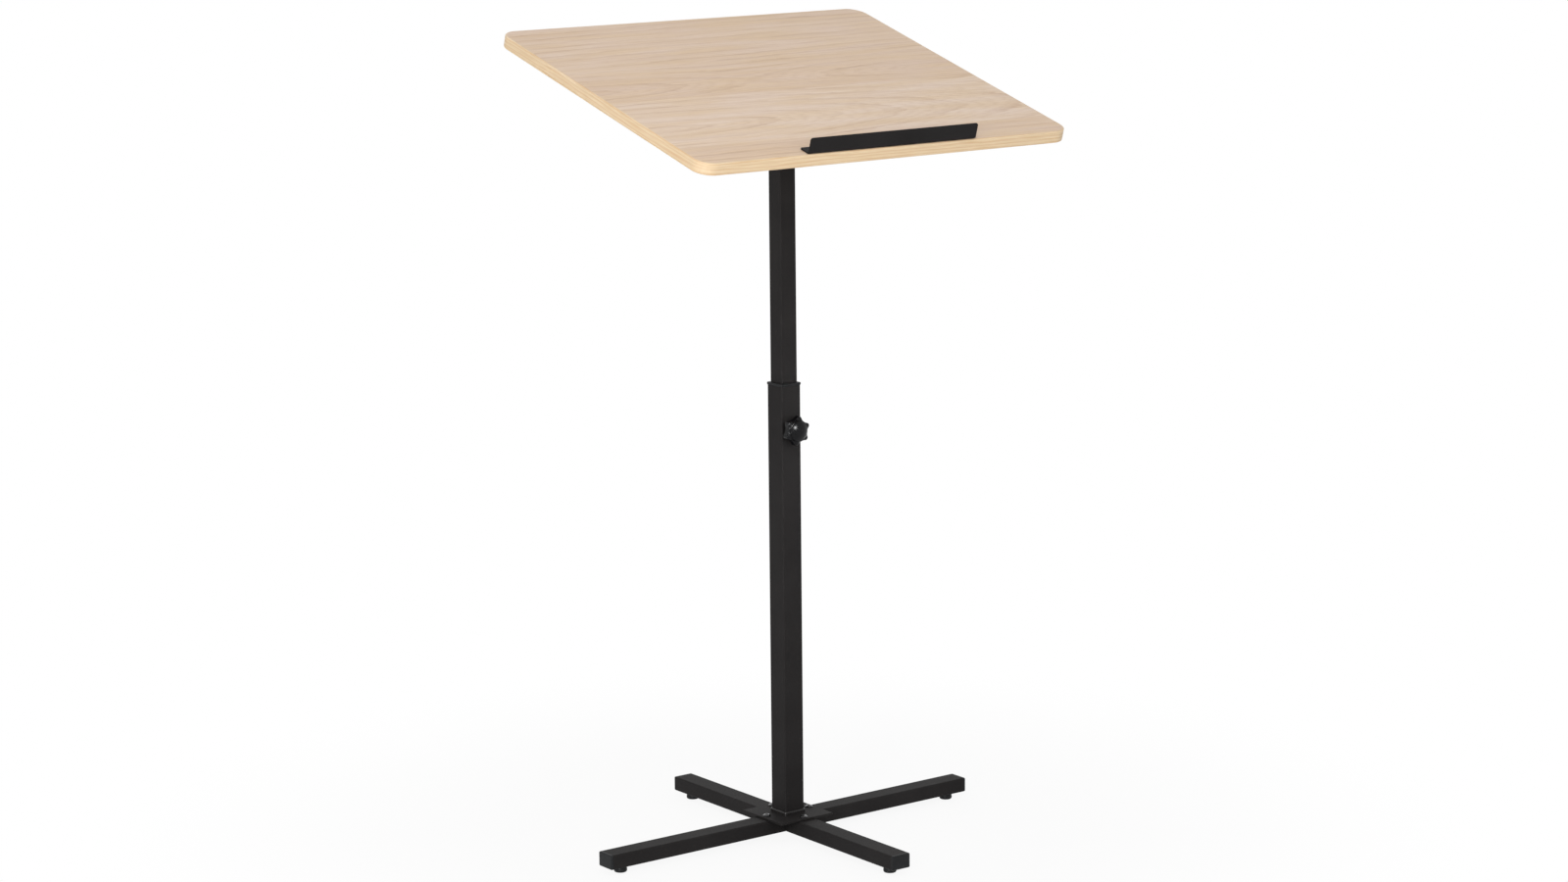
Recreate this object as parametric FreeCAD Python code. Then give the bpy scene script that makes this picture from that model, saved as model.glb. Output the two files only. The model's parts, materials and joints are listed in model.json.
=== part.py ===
import FreeCAD, Part
import math
import os

# Height-adjustable laptop desk: a tilting top on a telescopic square column with a cross base.
# Sizes are in millimetres. The origin is on the floor under the column's axis, +Z is up,
# X runs along the width of the top, and the user stands on the -Y side.

# Clearances
SLIDE_CLEARANCE = 0.2      # flat faces that slide on each other
FACE_CLEARANCE = 0.1       # flat faces that only turn against each other
RUNNING_CLEARANCE = 0.06   # radial, round shank in its turning or threaded hole
HOLE_CLEARANCE = 0.3       # radial, bolt in a plain drilled hole
SEAT_GAP = 0.25            # stud tip in front of the tube that it presses on

# Screw sizes: shank radii of the three threads
M8_RADIUS = 4.0
M6_RADIUS = 3.0
WOOD_SCREW_RADIUS = 2.0

# Cross base: two rectangular tubes, halved into each other where they cross
LEG_WIDTH = 30.0
LEG_HEIGHT = 20.0
LEG_WALL = 1.5
LEG_BEND = 0.6             # inside corner radius of the tube
LONG_LEG_LENGTH = 600.0
SHORT_LEG_LENGTH = 492.0
CAP_HEAD = 3.5
CAP_ROUND = 1.8
CAP_PLUG_DEPTH = 12.0
CAP_PLUG_WALL = 1.6

# Levelling glides under the four leg ends
GLIDE_RADIUS = 9.0
GLIDE_HEIGHT = 9.0
GLIDE_ROUND = 2.5          # rolled lower edge
GLIDE_FLARE = 0.8          # how much narrower the upper rim is
GLIDE_INSET = 21.0         # glide axis from the end of the tube
GLIDE_STUD_LENGTH = 20.0
GLIDE_FLOOR = 3.0          # plastic under the stud's end

# Rivet nuts that take the M6 threads in the thin leg walls
RIVET_NUT_WALL = 1.4
RIVET_NUT_LENGTH = 13.0
RIVET_NUT_BULGE = 1.5      # how far the crimped collar stands out of the sleeve
RIVET_NUT_COLLAR = 2.4     # height of the crimped collar

# Base plate and its bolts
PLATE_MARGIN = 28.0        # plate edge outside the column on each side
PLATE_THICKNESS = 3.0
PLATE_CORNER = 1.5
WELD_HEIGHT = 5.0
WELD_WIDTH = 2.0
WELD_ROUND = 1.6           # shoulder of the bead
BOLT_EDGE = 8.0            # bolt axis from the plate edge
BOLT_HEAD_RADIUS = 5.25
BOLT_HEAD_HEIGHT = 3.3
BOLT_LENGTH = 16.0
BOLT_SOCKET = 4.0          # across the flats
BOLT_SOCKET_DEPTH = 2.0

# Telescopic column
MAST_SIZE = 26.0
MAST_WALL = 1.5
MAST_BEND = 0.3
BUSH_WALL = 1.3
BUSH_DEPTH = 30.0
BUSH_FLANGE = 3.5
BUSH_OVERHANG = 1.0
BUSH_ROUND = 1.0           # upper edge of the flange
BUSH_UNDER_ROUND = 0.6     # its lower edge, which leaves a fine groove above the tube
COLUMN_WALL = 1.5
COLUMN_BEND = 0.5
COLUMN_LENGTH = 594.5
MAST_EXTENSION = 375.0     # column top to the tilt pivot, as set in the photo
MAST_INSERTION = 226.5     # tube below the column top at that setting
MAST_ABOVE_PIVOT = 8.5
GUIDE_FOOT = 8.0           # part of the guide plug below the tube
GUIDE_PLUG_DEPTH = 20.0
GUIDE_WALL = 2.0

# Height clamp on the front of the column
CLAMP_DROP = 59.5          # knob axis below the column top
CLAMP_BOSS_RADIUS = 8.0
CLAMP_BOSS_LENGTH = 4.5
CLAMP_GAP = 0.5            # knob hub in front of the boss

# Star knobs
KNOB_RADIUS = 20.0
KNOB_LOBES = 6
KNOB_TIP_RADIUS = 3.5
KNOB_SCALLOP_RADIUS = 14.0
KNOB_PHASE = 81.0          # angle of the first lobe
KNOB_HUB_RADIUS = 8.0
KNOB_HUB_LENGTH = 2.0
KNOB_RIM = 8.0             # lobe thickness at the tips
KNOB_SHOULDER = 10.5       # height where the dome starts
KNOB_DOME_RADIUS = 13.5
KNOB_DOME_RISE = 4.0
KNOB_DOME_STEP = 1.0       # upright wall under the dome's rim
KNOB_BORE_DEPTH = 9.0      # threaded hole into the knob's back
KNOB_WALL = 2.2            # moulded wall round the hollow back
KNOB_HOLLOW = 5.0          # depth of that hollow
KNOB_EDGE = 0.9            # rounding along the front of the lobes
STUD_POINT = 1.0           # chamfer on the stud's tip

# Tilt head
TILT_REST = 16.5           # front edge down, as in the photo
TILT_MAX = 35.0
PIVOT_DROP = 18.2          # pivot axis below the underside of the board
SLOT_RADIUS = 32.0         # arc slot about the pivot
SLOT_CLEARANCE = 0.3
NECK_CLEARANCE = 0.5       # square bolt neck to each side of the slot
EAR_MARGIN = 6.5           # steel round the slot
EAR_FRONT = 36.0
EAR_REAR = 26.0
EAR_CORNER = 5.0
EAR_WELD = 2.0
BRACKET_SHEET = 2.5
BRACKET_WIDTH = 200.0
BRACKET_DEPTH = 150.0
BRACKET_CORNER = 10.0
BRACKET_HOLE_EDGE = 15.0
NYLON_WASHER = 1.0
NYLON_WASHER_RADIUS = 11.0
STEEL_WASHER = 1.6
STEEL_WASHER_RADIUS = 8.0
KNOB_WASHER_RADIUS = 10.0
SLEEVE_WALL = 2.0          # spacer tubes inside the mast
HEX_ACROSS = 13.0
HEX_HEAD = 5.3
HEX_NUT = 8.0
NUT_COLLAR = 2.0           # round collar over the nut's nylon ring
NUT_COLLAR_RADIUS = 5.6
BOLT_TAIL = 2.0            # thread past the nut
CARRIAGE_HEAD_RADIUS = 9.0
CARRIAGE_HEAD = 4.2

# Top
TOP_WIDTH = 600.0
TOP_DEPTH = 480.0
TOP_THICKNESS = 16.5
TOP_CORNER = 24.0
BAND_THICKNESS = 2.0
BAND_ROUND = 1.8
SCREW_HEAD_RADIUS = 4.0
SCREW_HEAD = 2.6
SCREW_LENGTH = 14.0
SCREW_POINT = 4.0
SCREW_RECESS = 4.6         # length of each slot of the cross recess
SCREW_RECESS_WIDTH = 1.1
SCREW_RECESS_DEPTH = 1.5

# Edge stop along the front of the top
STOP_LENGTH = 272.0
STOP_HEIGHT = 22.0
STOP_FOOT = 20.0
STOP_SHEET = 2.0
STOP_BEND = 1.5            # inside radius of the fold
STOP_CORNER = 3.5
STOP_SETBACK = 1.0         # behind the front edge of the top
STOP_SCREW_PITCH = 100.0
STOP_SCREW_COUNT = 3

# Sizes that follow from the ones above
LEG_CORNER = LEG_BEND + LEG_WALL
MAST_CORNER = MAST_BEND + MAST_WALL
COLUMN_CORNER = COLUMN_BEND + COLUMN_WALL
COLUMN_BORE = MAST_SIZE + 2 * (SLIDE_CLEARANCE + BUSH_WALL)
COLUMN_SIZE = COLUMN_BORE + 2 * COLUMN_WALL
PLATE_SIZE = COLUMN_SIZE + 2 * PLATE_MARGIN
BOLT_REACH = PLATE_SIZE / 2 - BOLT_EDGE
LEG_TOP = GLIDE_HEIGHT + LEG_HEIGHT
LEG_MIDDLE = GLIDE_HEIGHT + LEG_HEIGHT / 2
PLATE_TOP = LEG_TOP + PLATE_THICKNESS
COLUMN_TOP = PLATE_TOP + COLUMN_LENGTH
CLAMP_HEIGHT = COLUMN_TOP - CLAMP_DROP
PIVOT_HEIGHT = COLUMN_TOP + MAST_EXTENSION
MAST_BOTTOM = COLUMN_TOP - MAST_INSERTION
MAST_TOP = PIVOT_HEIGHT + MAST_ABOVE_PIVOT
LOCK_HEIGHT = PIVOT_HEIGHT - SLOT_RADIUS
SLOT_HALF_WIDTH = M8_RADIUS + SLOT_CLEARANCE
NECK_HALF = SLOT_HALF_WIDTH - NECK_CLEARANCE
NECK_STOP = NECK_HALF - math.sqrt(SLOT_HALF_WIDTH ** 2 - NECK_HALF ** 2) + FACE_CLEARANCE
SLOT_OVERRUN = math.degrees(NECK_STOP / SLOT_RADIUS)
MAST_HALF = MAST_SIZE / 2
EAR_INSIDE = MAST_HALF + NYLON_WASHER + FACE_CLEARANCE
EAR_OUTSIDE = EAR_INSIDE + BRACKET_SHEET
OUTER_WASHER_FACE = EAR_OUTSIDE + FACE_CLEARANCE
OUTER_WASHER_END = OUTER_WASHER_FACE + STEEL_WASHER
BOARD_LOW = PIVOT_DROP
BOARD_HIGH = PIVOT_DROP + TOP_THICKNESS
BRACKET_LOW = PIVOT_DROP - BRACKET_SHEET
STOP_FRONT = -TOP_DEPTH / 2 + STOP_SETBACK

ORIGIN = FreeCAD.Vector(0, 0, 0)
X_AXIS = FreeCAD.Vector(1, 0, 0)
Y_AXIS = FreeCAD.Vector(0, 1, 0)
Z_AXIS = FreeCAD.Vector(0, 0, 1)

# Each arm of the cross: name, turn about Z, length of its tube
ARMS = (
    ("right", 0, LONG_LEG_LENGTH),
    ("rear", 90, SHORT_LEG_LENGTH),
    ("left", 180, LONG_LEG_LENGTH),
    ("front", 270, SHORT_LEG_LENGTH),
)


def point(x, y, z):
    return FreeCAD.Vector(x, y, z)


def polar(radius, degrees):
    turn = math.radians(degrees)
    return point(radius * math.cos(turn), radius * math.sin(turn), 0)


def rounded_rectangle(width, depth, radius, z=0.0):
    """Closed wire of a rectangle with round corners, centred on the Z axis."""
    reach_x = width / 2 - radius
    reach_y = depth / 2 - radius
    centres = []
    for side_x, side_y in ((1, 1), (-1, 1), (-1, -1), (1, -1)):
        centres.append(point(side_x * reach_x, side_y * reach_y, z))
    edges = []
    for index, centre in enumerate(centres):
        start = 90 * index
        following = centres[(index + 1) % 4]
        edges.append(Part.makeCircle(radius, centre, Z_AXIS, start, start + 90))
        edges.append(Part.makeLine(centre + polar(radius, start + 90), following + polar(radius, start + 90)))
    return Part.Wire(edges)


def prism(wire, height):
    return Part.Face(wire).extrude(point(0, 0, height))


def rounded_block(width, depth, radius, low, high):
    return prism(rounded_rectangle(width, depth, radius, low), high - low)


def rectangular_tube(width, depth, wall, bend, low, high):
    outer = rounded_block(width, depth, bend + wall, low, high)
    inner = rounded_block(width - 2 * wall, depth - 2 * wall, bend, low, high)
    return outer.cut(inner)


def level_edge(edge, height):
    """True for an edge that lies flat at a height."""
    box = edge.BoundBox
    return max(abs(box.ZMin - height), abs(box.ZMax - height)) < 1e-6


def turned(profile):
    """Solid of revolution about Z of a closed profile of (radius, height) points."""
    corners = [point(radius, 0, height) for radius, height in profile]
    wire = Part.makePolygon(corners + corners[:1])
    return Part.Face(wire).revolve(ORIGIN, Z_AXIS, 360)


def ring(inner_radius, outer_radius, thickness):
    disc = Part.makeCylinder(outer_radius, thickness)
    return disc.cut(Part.makeCylinder(inner_radius, thickness))


def hexagon(across, height):
    corners = [polar(across / math.sqrt(3), 60 * step) for step in range(6)]
    return prism(Part.makePolygon(corners + corners[:1]), height)


def hexagon_head(across, height):
    """Hexagon standing on Z = 0 with the corners of its upper face turned off at 30 degrees."""
    flat = across / 2
    corner = across / math.sqrt(3)
    drop = (corner - flat) * math.tan(math.radians(30))
    envelope = turned((
        (0, 0),
        (corner, 0),
        (corner, height - drop),
        (flat, height),
        (0, height),
    ))
    return hexagon(across, height).common(envelope)


def crown_arc(radius, low, high):
    """Arc of a spherical crown in the XZ plane, from its rim up to the Z axis."""
    rise = high - low
    sphere = (radius ** 2 + rise ** 2) / (2 * rise)
    half_turn = math.asin(radius / sphere) / 2
    middle = point(sphere * math.sin(half_turn), 0, high - sphere + sphere * math.cos(half_turn))
    return Part.Arc(point(radius, 0, low), middle, point(0, 0, high)).toShape()


def domed_head(radius, height):
    """Shallow round head standing on Z = 0: a rim, then a spherical crown."""
    rim = height / 4
    edges = [
        Part.makeLine(ORIGIN, point(radius, 0, 0)),
        Part.makeLine(point(radius, 0, 0), point(radius, 0, rim)),
        crown_arc(radius, rim, height),
        Part.makeLine(point(0, 0, height), ORIGIN),
    ]
    return Part.Face(Part.Wire(edges)).revolve(ORIGIN, Z_AXIS, 360)


def pointed(shape, direction, place):
    """Turn a shape built along +Z to point along direction, with its base at place."""
    move = FreeCAD.Placement(place, FreeCAD.Rotation(Z_AXIS, direction))
    shape.Placement = move.multiply(shape.Placement)
    return shape


def cross_bar(radius, reach, height):
    """Round bar along X through the mast at a height, for drilling its two side walls."""
    return Part.makeCylinder(radius, 2 * reach, point(-reach, 0, height), X_AXIS)


def on_arm(shape, turn):
    return shape.rotated(ORIGIN, Z_AXIS, turn)


def tilted(shape):
    """Carry a shape from the top's own frame, with the pivot at the origin, to its place."""
    return shape.rotated(ORIGIN, X_AXIS, TILT_REST).translated(point(0, 0, PIVOT_HEIGHT))


def leg(length, notch_low, notch_high):
    """Tube along X with its halving notch and the holes for bolts and glides."""
    tube = rectangular_tube(LEG_HEIGHT, LEG_WIDTH, LEG_WALL, LEG_BEND, -length / 2, length / 2)
    tube = tube.rotated(ORIGIN, Y_AXIS, 90).translated(point(0, 0, LEG_MIDDLE))
    half = LEG_WIDTH / 2 + SLIDE_CLEARANCE
    notch = Part.makeBox(2 * half, LEG_WIDTH, notch_high - notch_low, point(-half, -LEG_WIDTH / 2, notch_low))
    tube = tube.cut(notch)
    hole = M6_RADIUS + RUNNING_CLEARANCE + RIVET_NUT_WALL + RUNNING_CLEARANCE
    for side in (1, -1):
        bolt = point(side * BOLT_REACH, 0, LEG_TOP - LEG_HEIGHT / 2)
        glide = point(side * (length / 2 - GLIDE_INSET), 0, GLIDE_HEIGHT)
        tube = tube.cut(Part.makeCylinder(hole, LEG_HEIGHT / 2, bolt))
        tube = tube.cut(Part.makeCylinder(hole, LEG_HEIGHT / 2, glide))
    return tube


def end_cap(length):
    """Moulded plug with a round-edged head, for the +X end of a leg."""
    head = rounded_block(LEG_HEIGHT, LEG_WIDTH, LEG_CORNER, 0, CAP_HEAD)
    rim = [edge for edge in head.Edges if level_edge(edge, CAP_HEAD)]
    head = head.makeFillet(CAP_ROUND, rim)
    slack = 2 * (LEG_WALL + SLIDE_CLEARANCE)
    plug = rectangular_tube(
        LEG_HEIGHT - slack, LEG_WIDTH - slack, CAP_PLUG_WALL, LEG_BEND, -CAP_PLUG_DEPTH, 0)
    rib = Part.makeBox(LEG_HEIGHT - slack - CAP_PLUG_WALL, CAP_PLUG_WALL, CAP_PLUG_DEPTH)
    rib.translate(point(-(LEG_HEIGHT - slack - CAP_PLUG_WALL) / 2, -CAP_PLUG_WALL / 2, -CAP_PLUG_DEPTH))
    cap = head.fuse([plug, rib]).removeSplitter()
    return pointed(cap, X_AXIS, point(length / 2, 0, LEG_MIDDLE))


def rivet_nut():
    """Crimped sleeve nut: its mouth is at Z = 0 and the sleeve runs up from there."""
    bore = M6_RADIUS + RUNNING_CLEARANCE
    sleeve = bore + RIVET_NUT_WALL
    collar = sleeve + RIVET_NUT_BULGE
    return turned((
        (bore, 0),
        (sleeve, 0),
        (sleeve, LEG_WALL),
        (collar, LEG_WALL),
        (collar, LEG_WALL + RIVET_NUT_COLLAR / 2),
        (sleeve, LEG_WALL + RIVET_NUT_COLLAR),
        (sleeve, RIVET_NUT_LENGTH),
        (bore, RIVET_NUT_LENGTH),
    ))


def glide_rivet_nuts():
    nuts = []
    for _, turn, length in ARMS:
        nut = rivet_nut().translated(point(length / 2 - GLIDE_INSET, 0, GLIDE_HEIGHT))
        nuts.append(on_arm(nut, turn))
    return Part.makeCompound(nuts)


def bolt_rivet_nuts():
    nuts = []
    for _, turn, _ in ARMS:
        nut = rivet_nut().rotated(ORIGIN, X_AXIS, 180)
        nuts.append(on_arm(nut.translated(point(BOLT_REACH, 0, LEG_TOP)), turn))
    return Part.makeCompound(nuts)


def glide_pad(length):
    """Round foot with a rolled lower edge and a blind hole for its stud."""
    upper = GLIDE_RADIUS - GLIDE_FLARE
    diagonal = GLIDE_ROUND * (1 - math.sqrt(0.5))
    roll = Part.Arc(
        point(GLIDE_RADIUS - GLIDE_ROUND, 0, 0),
        point(GLIDE_RADIUS - diagonal, 0, diagonal),
        point(GLIDE_RADIUS, 0, GLIDE_ROUND))
    bore = M6_RADIUS + RUNNING_CLEARANCE
    outline = [
        Part.makeLine(ORIGIN, point(GLIDE_RADIUS - GLIDE_ROUND, 0, 0)),
        roll.toShape(),
        Part.makeLine(point(GLIDE_RADIUS, 0, GLIDE_ROUND), point(upper, 0, GLIDE_HEIGHT)),
        Part.makeLine(point(upper, 0, GLIDE_HEIGHT), point(bore, 0, GLIDE_HEIGHT)),
        Part.makeLine(point(bore, 0, GLIDE_HEIGHT), point(bore, 0, GLIDE_FLOOR)),
        Part.makeLine(point(bore, 0, GLIDE_FLOOR), point(0, 0, GLIDE_FLOOR)),
        Part.makeLine(point(0, 0, GLIDE_FLOOR), ORIGIN),
    ]
    pad = Part.Face(Part.Wire(outline)).revolve(ORIGIN, Z_AXIS, 360)
    return pad.translated(point(length / 2 - GLIDE_INSET, 0, 0))


def stud(length):
    """Threaded rod from Z = 0 with a chamfered tip at its upper end."""
    return turned((
        (0, 0),
        (M8_RADIUS, 0),
        (M8_RADIUS, length - STUD_POINT),
        (M8_RADIUS - STUD_POINT, length),
        (0, length),
    ))


def glide_stud(length):
    low = GLIDE_FLOOR + FACE_CLEARANCE
    shank = turned((
        (0, low),
        (M6_RADIUS, low),
        (M6_RADIUS, low + GLIDE_STUD_LENGTH - STUD_POINT),
        (M6_RADIUS - STUD_POINT, low + GLIDE_STUD_LENGTH),
        (0, low + GLIDE_STUD_LENGTH),
    ))
    return shank.translated(point(length / 2 - GLIDE_INSET, 0, 0))


def base_plate():
    plate = rounded_block(PLATE_SIZE, PLATE_SIZE, PLATE_CORNER, LEG_TOP, PLATE_TOP)
    for _, turn, _ in ARMS:
        drill = Part.makeCylinder(M6_RADIUS + HOLE_CLEARANCE, PLATE_THICKNESS, point(BOLT_REACH, 0, LEG_TOP))
        plate = plate.cut(on_arm(drill, turn))
    return plate


def column_weld():
    """Weld bead all round the foot of the column, with a rounded shoulder."""
    size = COLUMN_SIZE + 2 * WELD_WIDTH
    top = PLATE_TOP + WELD_HEIGHT
    bead = rounded_block(size, size, COLUMN_CORNER + WELD_WIDTH, PLATE_TOP, top)
    shoulder = [edge for edge in bead.Edges if edge.BoundBox.ZMin > PLATE_TOP + WELD_HEIGHT / 2]
    bead = bead.makeFillet(WELD_ROUND, shoulder)
    return bead.cut(rounded_block(COLUMN_SIZE, COLUMN_SIZE, COLUMN_CORNER, PLATE_TOP, top))


def base_bolt():
    """Button-head bolt with a hexagon socket, head up, under-head face at Z = 0."""
    head = domed_head(BOLT_HEAD_RADIUS, BOLT_HEAD_HEIGHT)
    shank = Part.makeCylinder(M6_RADIUS, BOLT_LENGTH, point(0, 0, -BOLT_LENGTH))
    socket = hexagon(BOLT_SOCKET, BOLT_SOCKET_DEPTH)
    return head.fuse(shank).cut(socket.translated(point(0, 0, BOLT_HEAD_HEIGHT - BOLT_SOCKET_DEPTH)))


def base_bolts():
    bolts = []
    for _, turn, _ in ARMS:
        bolts.append(on_arm(base_bolt().translated(point(BOLT_REACH, 0, PLATE_TOP)), turn))
    return Part.makeCompound(bolts)


def outer_column():
    tube = rectangular_tube(COLUMN_SIZE, COLUMN_SIZE, COLUMN_WALL, COLUMN_BEND, PLATE_TOP, COLUMN_TOP)
    drill = Part.makeCylinder(
        M8_RADIUS + HOLE_CLEARANCE, COLUMN_SIZE / 2, point(0, 0, CLAMP_HEIGHT), -Y_AXIS)
    return tube.cut(drill)


def column_bush():
    """Moulded guide in the mouth of the column, with a flange that caps the tube."""
    flange_size = COLUMN_SIZE + 2 * BUSH_OVERHANG
    flange_top = COLUMN_TOP + BUSH_FLANGE
    flange = rounded_block(flange_size, flange_size, COLUMN_CORNER + BUSH_OVERHANG, COLUMN_TOP, flange_top)
    for height, radius in ((flange_top, BUSH_ROUND), (COLUMN_TOP, BUSH_UNDER_ROUND)):
        rim = [edge for edge in flange.Edges if level_edge(edge, height)]
        flange = flange.makeFillet(radius, rim)
    sleeve = rounded_block(COLUMN_BORE, COLUMN_BORE, COLUMN_BEND, COLUMN_TOP - BUSH_DEPTH, COLUMN_TOP)
    opening = MAST_SIZE + 2 * SLIDE_CLEARANCE
    way = rounded_block(
        opening, opening, MAST_CORNER + SLIDE_CLEARANCE, COLUMN_TOP - BUSH_DEPTH, flange_top)
    return flange.fuse(sleeve).removeSplitter().cut(way)


def clamp_boss():
    """Threaded boss welded to the front of the column for the clamp stud."""
    boss = ring(M8_RADIUS + RUNNING_CLEARANCE, CLAMP_BOSS_RADIUS, CLAMP_BOSS_LENGTH)
    return pointed(boss, -Y_AXIS, point(0, -COLUMN_SIZE / 2, CLAMP_HEIGHT))


def star_outline():
    """Lobed outline of a knob: round tips joined by scallops that are tangent to them."""
    tip_reach = KNOB_RADIUS - KNOB_TIP_RADIUS
    half_step = 180 / KNOB_LOBES
    span = KNOB_TIP_RADIUS + KNOB_SCALLOP_RADIUS
    across = tip_reach * math.sin(math.radians(half_step))
    along = tip_reach * math.cos(math.radians(half_step))
    scallop_reach = along + math.sqrt(span ** 2 - across ** 2)
    edges = []
    for lobe in range(KNOB_LOBES):
        middle = KNOB_PHASE + 2 * half_step * lobe
        tip = polar(tip_reach, middle)
        before = polar(scallop_reach, middle - half_step)
        after = polar(scallop_reach, middle + half_step)
        following = polar(tip_reach, middle + 2 * half_step)
        start = tip + (before - tip) * (KNOB_TIP_RADIUS / span)
        finish = tip + (after - tip) * (KNOB_TIP_RADIUS / span)
        beyond = following + (after - following) * (KNOB_TIP_RADIUS / span)
        valley = polar(scallop_reach - KNOB_SCALLOP_RADIUS, middle + half_step)
        edges.append(Part.Arc(start, polar(KNOB_RADIUS, middle), finish).toShape())
        edges.append(Part.Arc(finish, valley, beyond).toShape())
    return Part.Wire(edges)


def on_flank(edge):
    """True for an edge of the knob that lies outside its dome."""
    middle = edge.valueAt((edge.FirstParameter + edge.LastParameter) / 2)
    return math.hypot(middle.x, middle.y) > KNOB_DOME_RADIUS + KNOB_EDGE


def star_knob():
    """Moulded six-lobe knob along +Z: hub at Z = 0, lobes, then a polished dome."""
    height = KNOB_SHOULDER + KNOB_DOME_RISE
    step = KNOB_SHOULDER - KNOB_DOME_STEP
    outline = [
        Part.makeLine(ORIGIN, point(KNOB_RADIUS, 0, 0)),
        Part.makeLine(point(KNOB_RADIUS, 0, 0), point(KNOB_RADIUS, 0, KNOB_RIM)),
        Part.makeLine(point(KNOB_RADIUS, 0, KNOB_RIM), point(KNOB_DOME_RADIUS, 0, step)),
        Part.makeLine(point(KNOB_DOME_RADIUS, 0, step), point(KNOB_DOME_RADIUS, 0, KNOB_SHOULDER)),
        crown_arc(KNOB_DOME_RADIUS, KNOB_SHOULDER, height),
        Part.makeLine(point(0, 0, height), ORIGIN),
    ]
    body = Part.Face(Part.Wire(outline)).revolve(ORIGIN, Z_AXIS, 360)
    star = star_outline()
    lobes = prism(star, height).common(body)
    front = [edge for edge in lobes.Edges if edge.BoundBox.ZMin > KNOB_RIM - KNOB_EDGE and on_flank(edge)]
    lobes = lobes.makeFillet(KNOB_EDGE, front)
    hollow = prism(star.makeOffset2D(-KNOB_WALL), KNOB_HOLLOW)
    hub = Part.makeCylinder(KNOB_HUB_RADIUS, KNOB_HOLLOW + KNOB_HUB_LENGTH, point(0, 0, -KNOB_HUB_LENGTH))
    bore = Part.makeCylinder(M8_RADIUS + RUNNING_CLEARANCE, KNOB_BORE_DEPTH, point(0, 0, -KNOB_HUB_LENGTH))
    knob = lobes.cut(hollow).fuse(hub).removeSplitter().cut(bore)
    return knob.translated(point(0, 0, KNOB_HUB_LENGTH))


def clamp_knob():
    face = COLUMN_SIZE / 2 + CLAMP_BOSS_LENGTH + CLAMP_GAP
    knob = star_knob().rotated(ORIGIN, X_AXIS, 90)
    return knob.translated(point(0, -face, CLAMP_HEIGHT))


def clamp_stud():
    tip = MAST_HALF + SEAT_GAP
    end = COLUMN_SIZE / 2 + CLAMP_BOSS_LENGTH + CLAMP_GAP + KNOB_BORE_DEPTH - FACE_CLEARANCE
    return pointed(stud(end - tip), Y_AXIS, point(0, -end, CLAMP_HEIGHT))


def inner_column():
    tube = rectangular_tube(MAST_SIZE, MAST_SIZE, MAST_WALL, MAST_BEND, MAST_BOTTOM, MAST_TOP)
    for height in (PIVOT_HEIGHT, LOCK_HEIGHT):
        tube = tube.cut(cross_bar(M8_RADIUS + RUNNING_CLEARANCE, MAST_HALF, height))
    return tube


def mast_guide():
    """Plug in the lower end of the inner tube whose foot slides inside the column."""
    foot_size = COLUMN_BORE - 2 * SLIDE_CLEARANCE
    foot = rounded_block(foot_size, foot_size, COLUMN_BEND, MAST_BOTTOM - GUIDE_FOOT, MAST_BOTTOM)
    plug_size = MAST_SIZE - 2 * (MAST_WALL + SLIDE_CLEARANCE)
    plug = rounded_block(plug_size, plug_size, MAST_BEND, MAST_BOTTOM, MAST_BOTTOM + GUIDE_PLUG_DEPTH)
    hollow_size = plug_size - 2 * GUIDE_WALL
    hollow = rounded_block(
        hollow_size, hollow_size, MAST_BEND, MAST_BOTTOM - GUIDE_FOOT, MAST_BOTTOM + GUIDE_PLUG_DEPTH)
    return foot.fuse(plug).cut(hollow)


def spacer_sleeves():
    """Tubes round the two cross bolts that stop the mast's walls from being squeezed in."""
    reach = MAST_HALF - MAST_WALL
    sleeves = []
    for height in (PIVOT_HEIGHT, LOCK_HEIGHT):
        bore = M8_RADIUS + RUNNING_CLEARANCE
        sleeve = ring(bore, bore + SLEEVE_WALL, 2 * reach)
        sleeves.append(pointed(sleeve, X_AXIS, point(-reach, 0, height)))
    return Part.makeCompound(sleeves)


def nylon_washers():
    washers = []
    for height in (PIVOT_HEIGHT, LOCK_HEIGHT):
        for side in (1, -1):
            washer = ring(M8_RADIUS + RUNNING_CLEARANCE, NYLON_WASHER_RADIUS, NYLON_WASHER)
            washers.append(pointed(washer, X_AXIS * side, point(side * MAST_HALF, 0, height)))
    return Part.makeCompound(washers)


def pivot_washers():
    washers = []
    for side in (1, -1):
        washer = ring(M8_RADIUS + RUNNING_CLEARANCE, STEEL_WASHER_RADIUS, STEEL_WASHER)
        washers.append(pointed(washer, X_AXIS * side, point(side * OUTER_WASHER_FACE, 0, PIVOT_HEIGHT)))
    return Part.makeCompound(washers)


def pivot_bolt():
    """Hexagon bolt across the mast: head on the left, thread end on the right."""
    shank_length = 2 * OUTER_WASHER_END + HEX_NUT + BOLT_TAIL
    head = hexagon_head(HEX_ACROSS, HEX_HEAD).rotated(ORIGIN, X_AXIS, 180)
    bolt = head.fuse(stud(shank_length))
    return pointed(bolt, X_AXIS, point(-OUTER_WASHER_END, 0, PIVOT_HEIGHT))


def pivot_nut():
    """Lock nut: a hexagon with a round collar that holds a nylon ring."""
    flats = HEX_NUT - NUT_COLLAR
    collar = Part.makeCylinder(NUT_COLLAR_RADIUS, NUT_COLLAR, point(0, 0, flats))
    bore = Part.makeCylinder(M8_RADIUS + RUNNING_CLEARANCE, HEX_NUT)
    nut = hexagon_head(HEX_ACROSS, flats).fuse(collar).cut(bore)
    return pointed(nut, X_AXIS, point(OUTER_WASHER_END, 0, PIVOT_HEIGHT))


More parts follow.
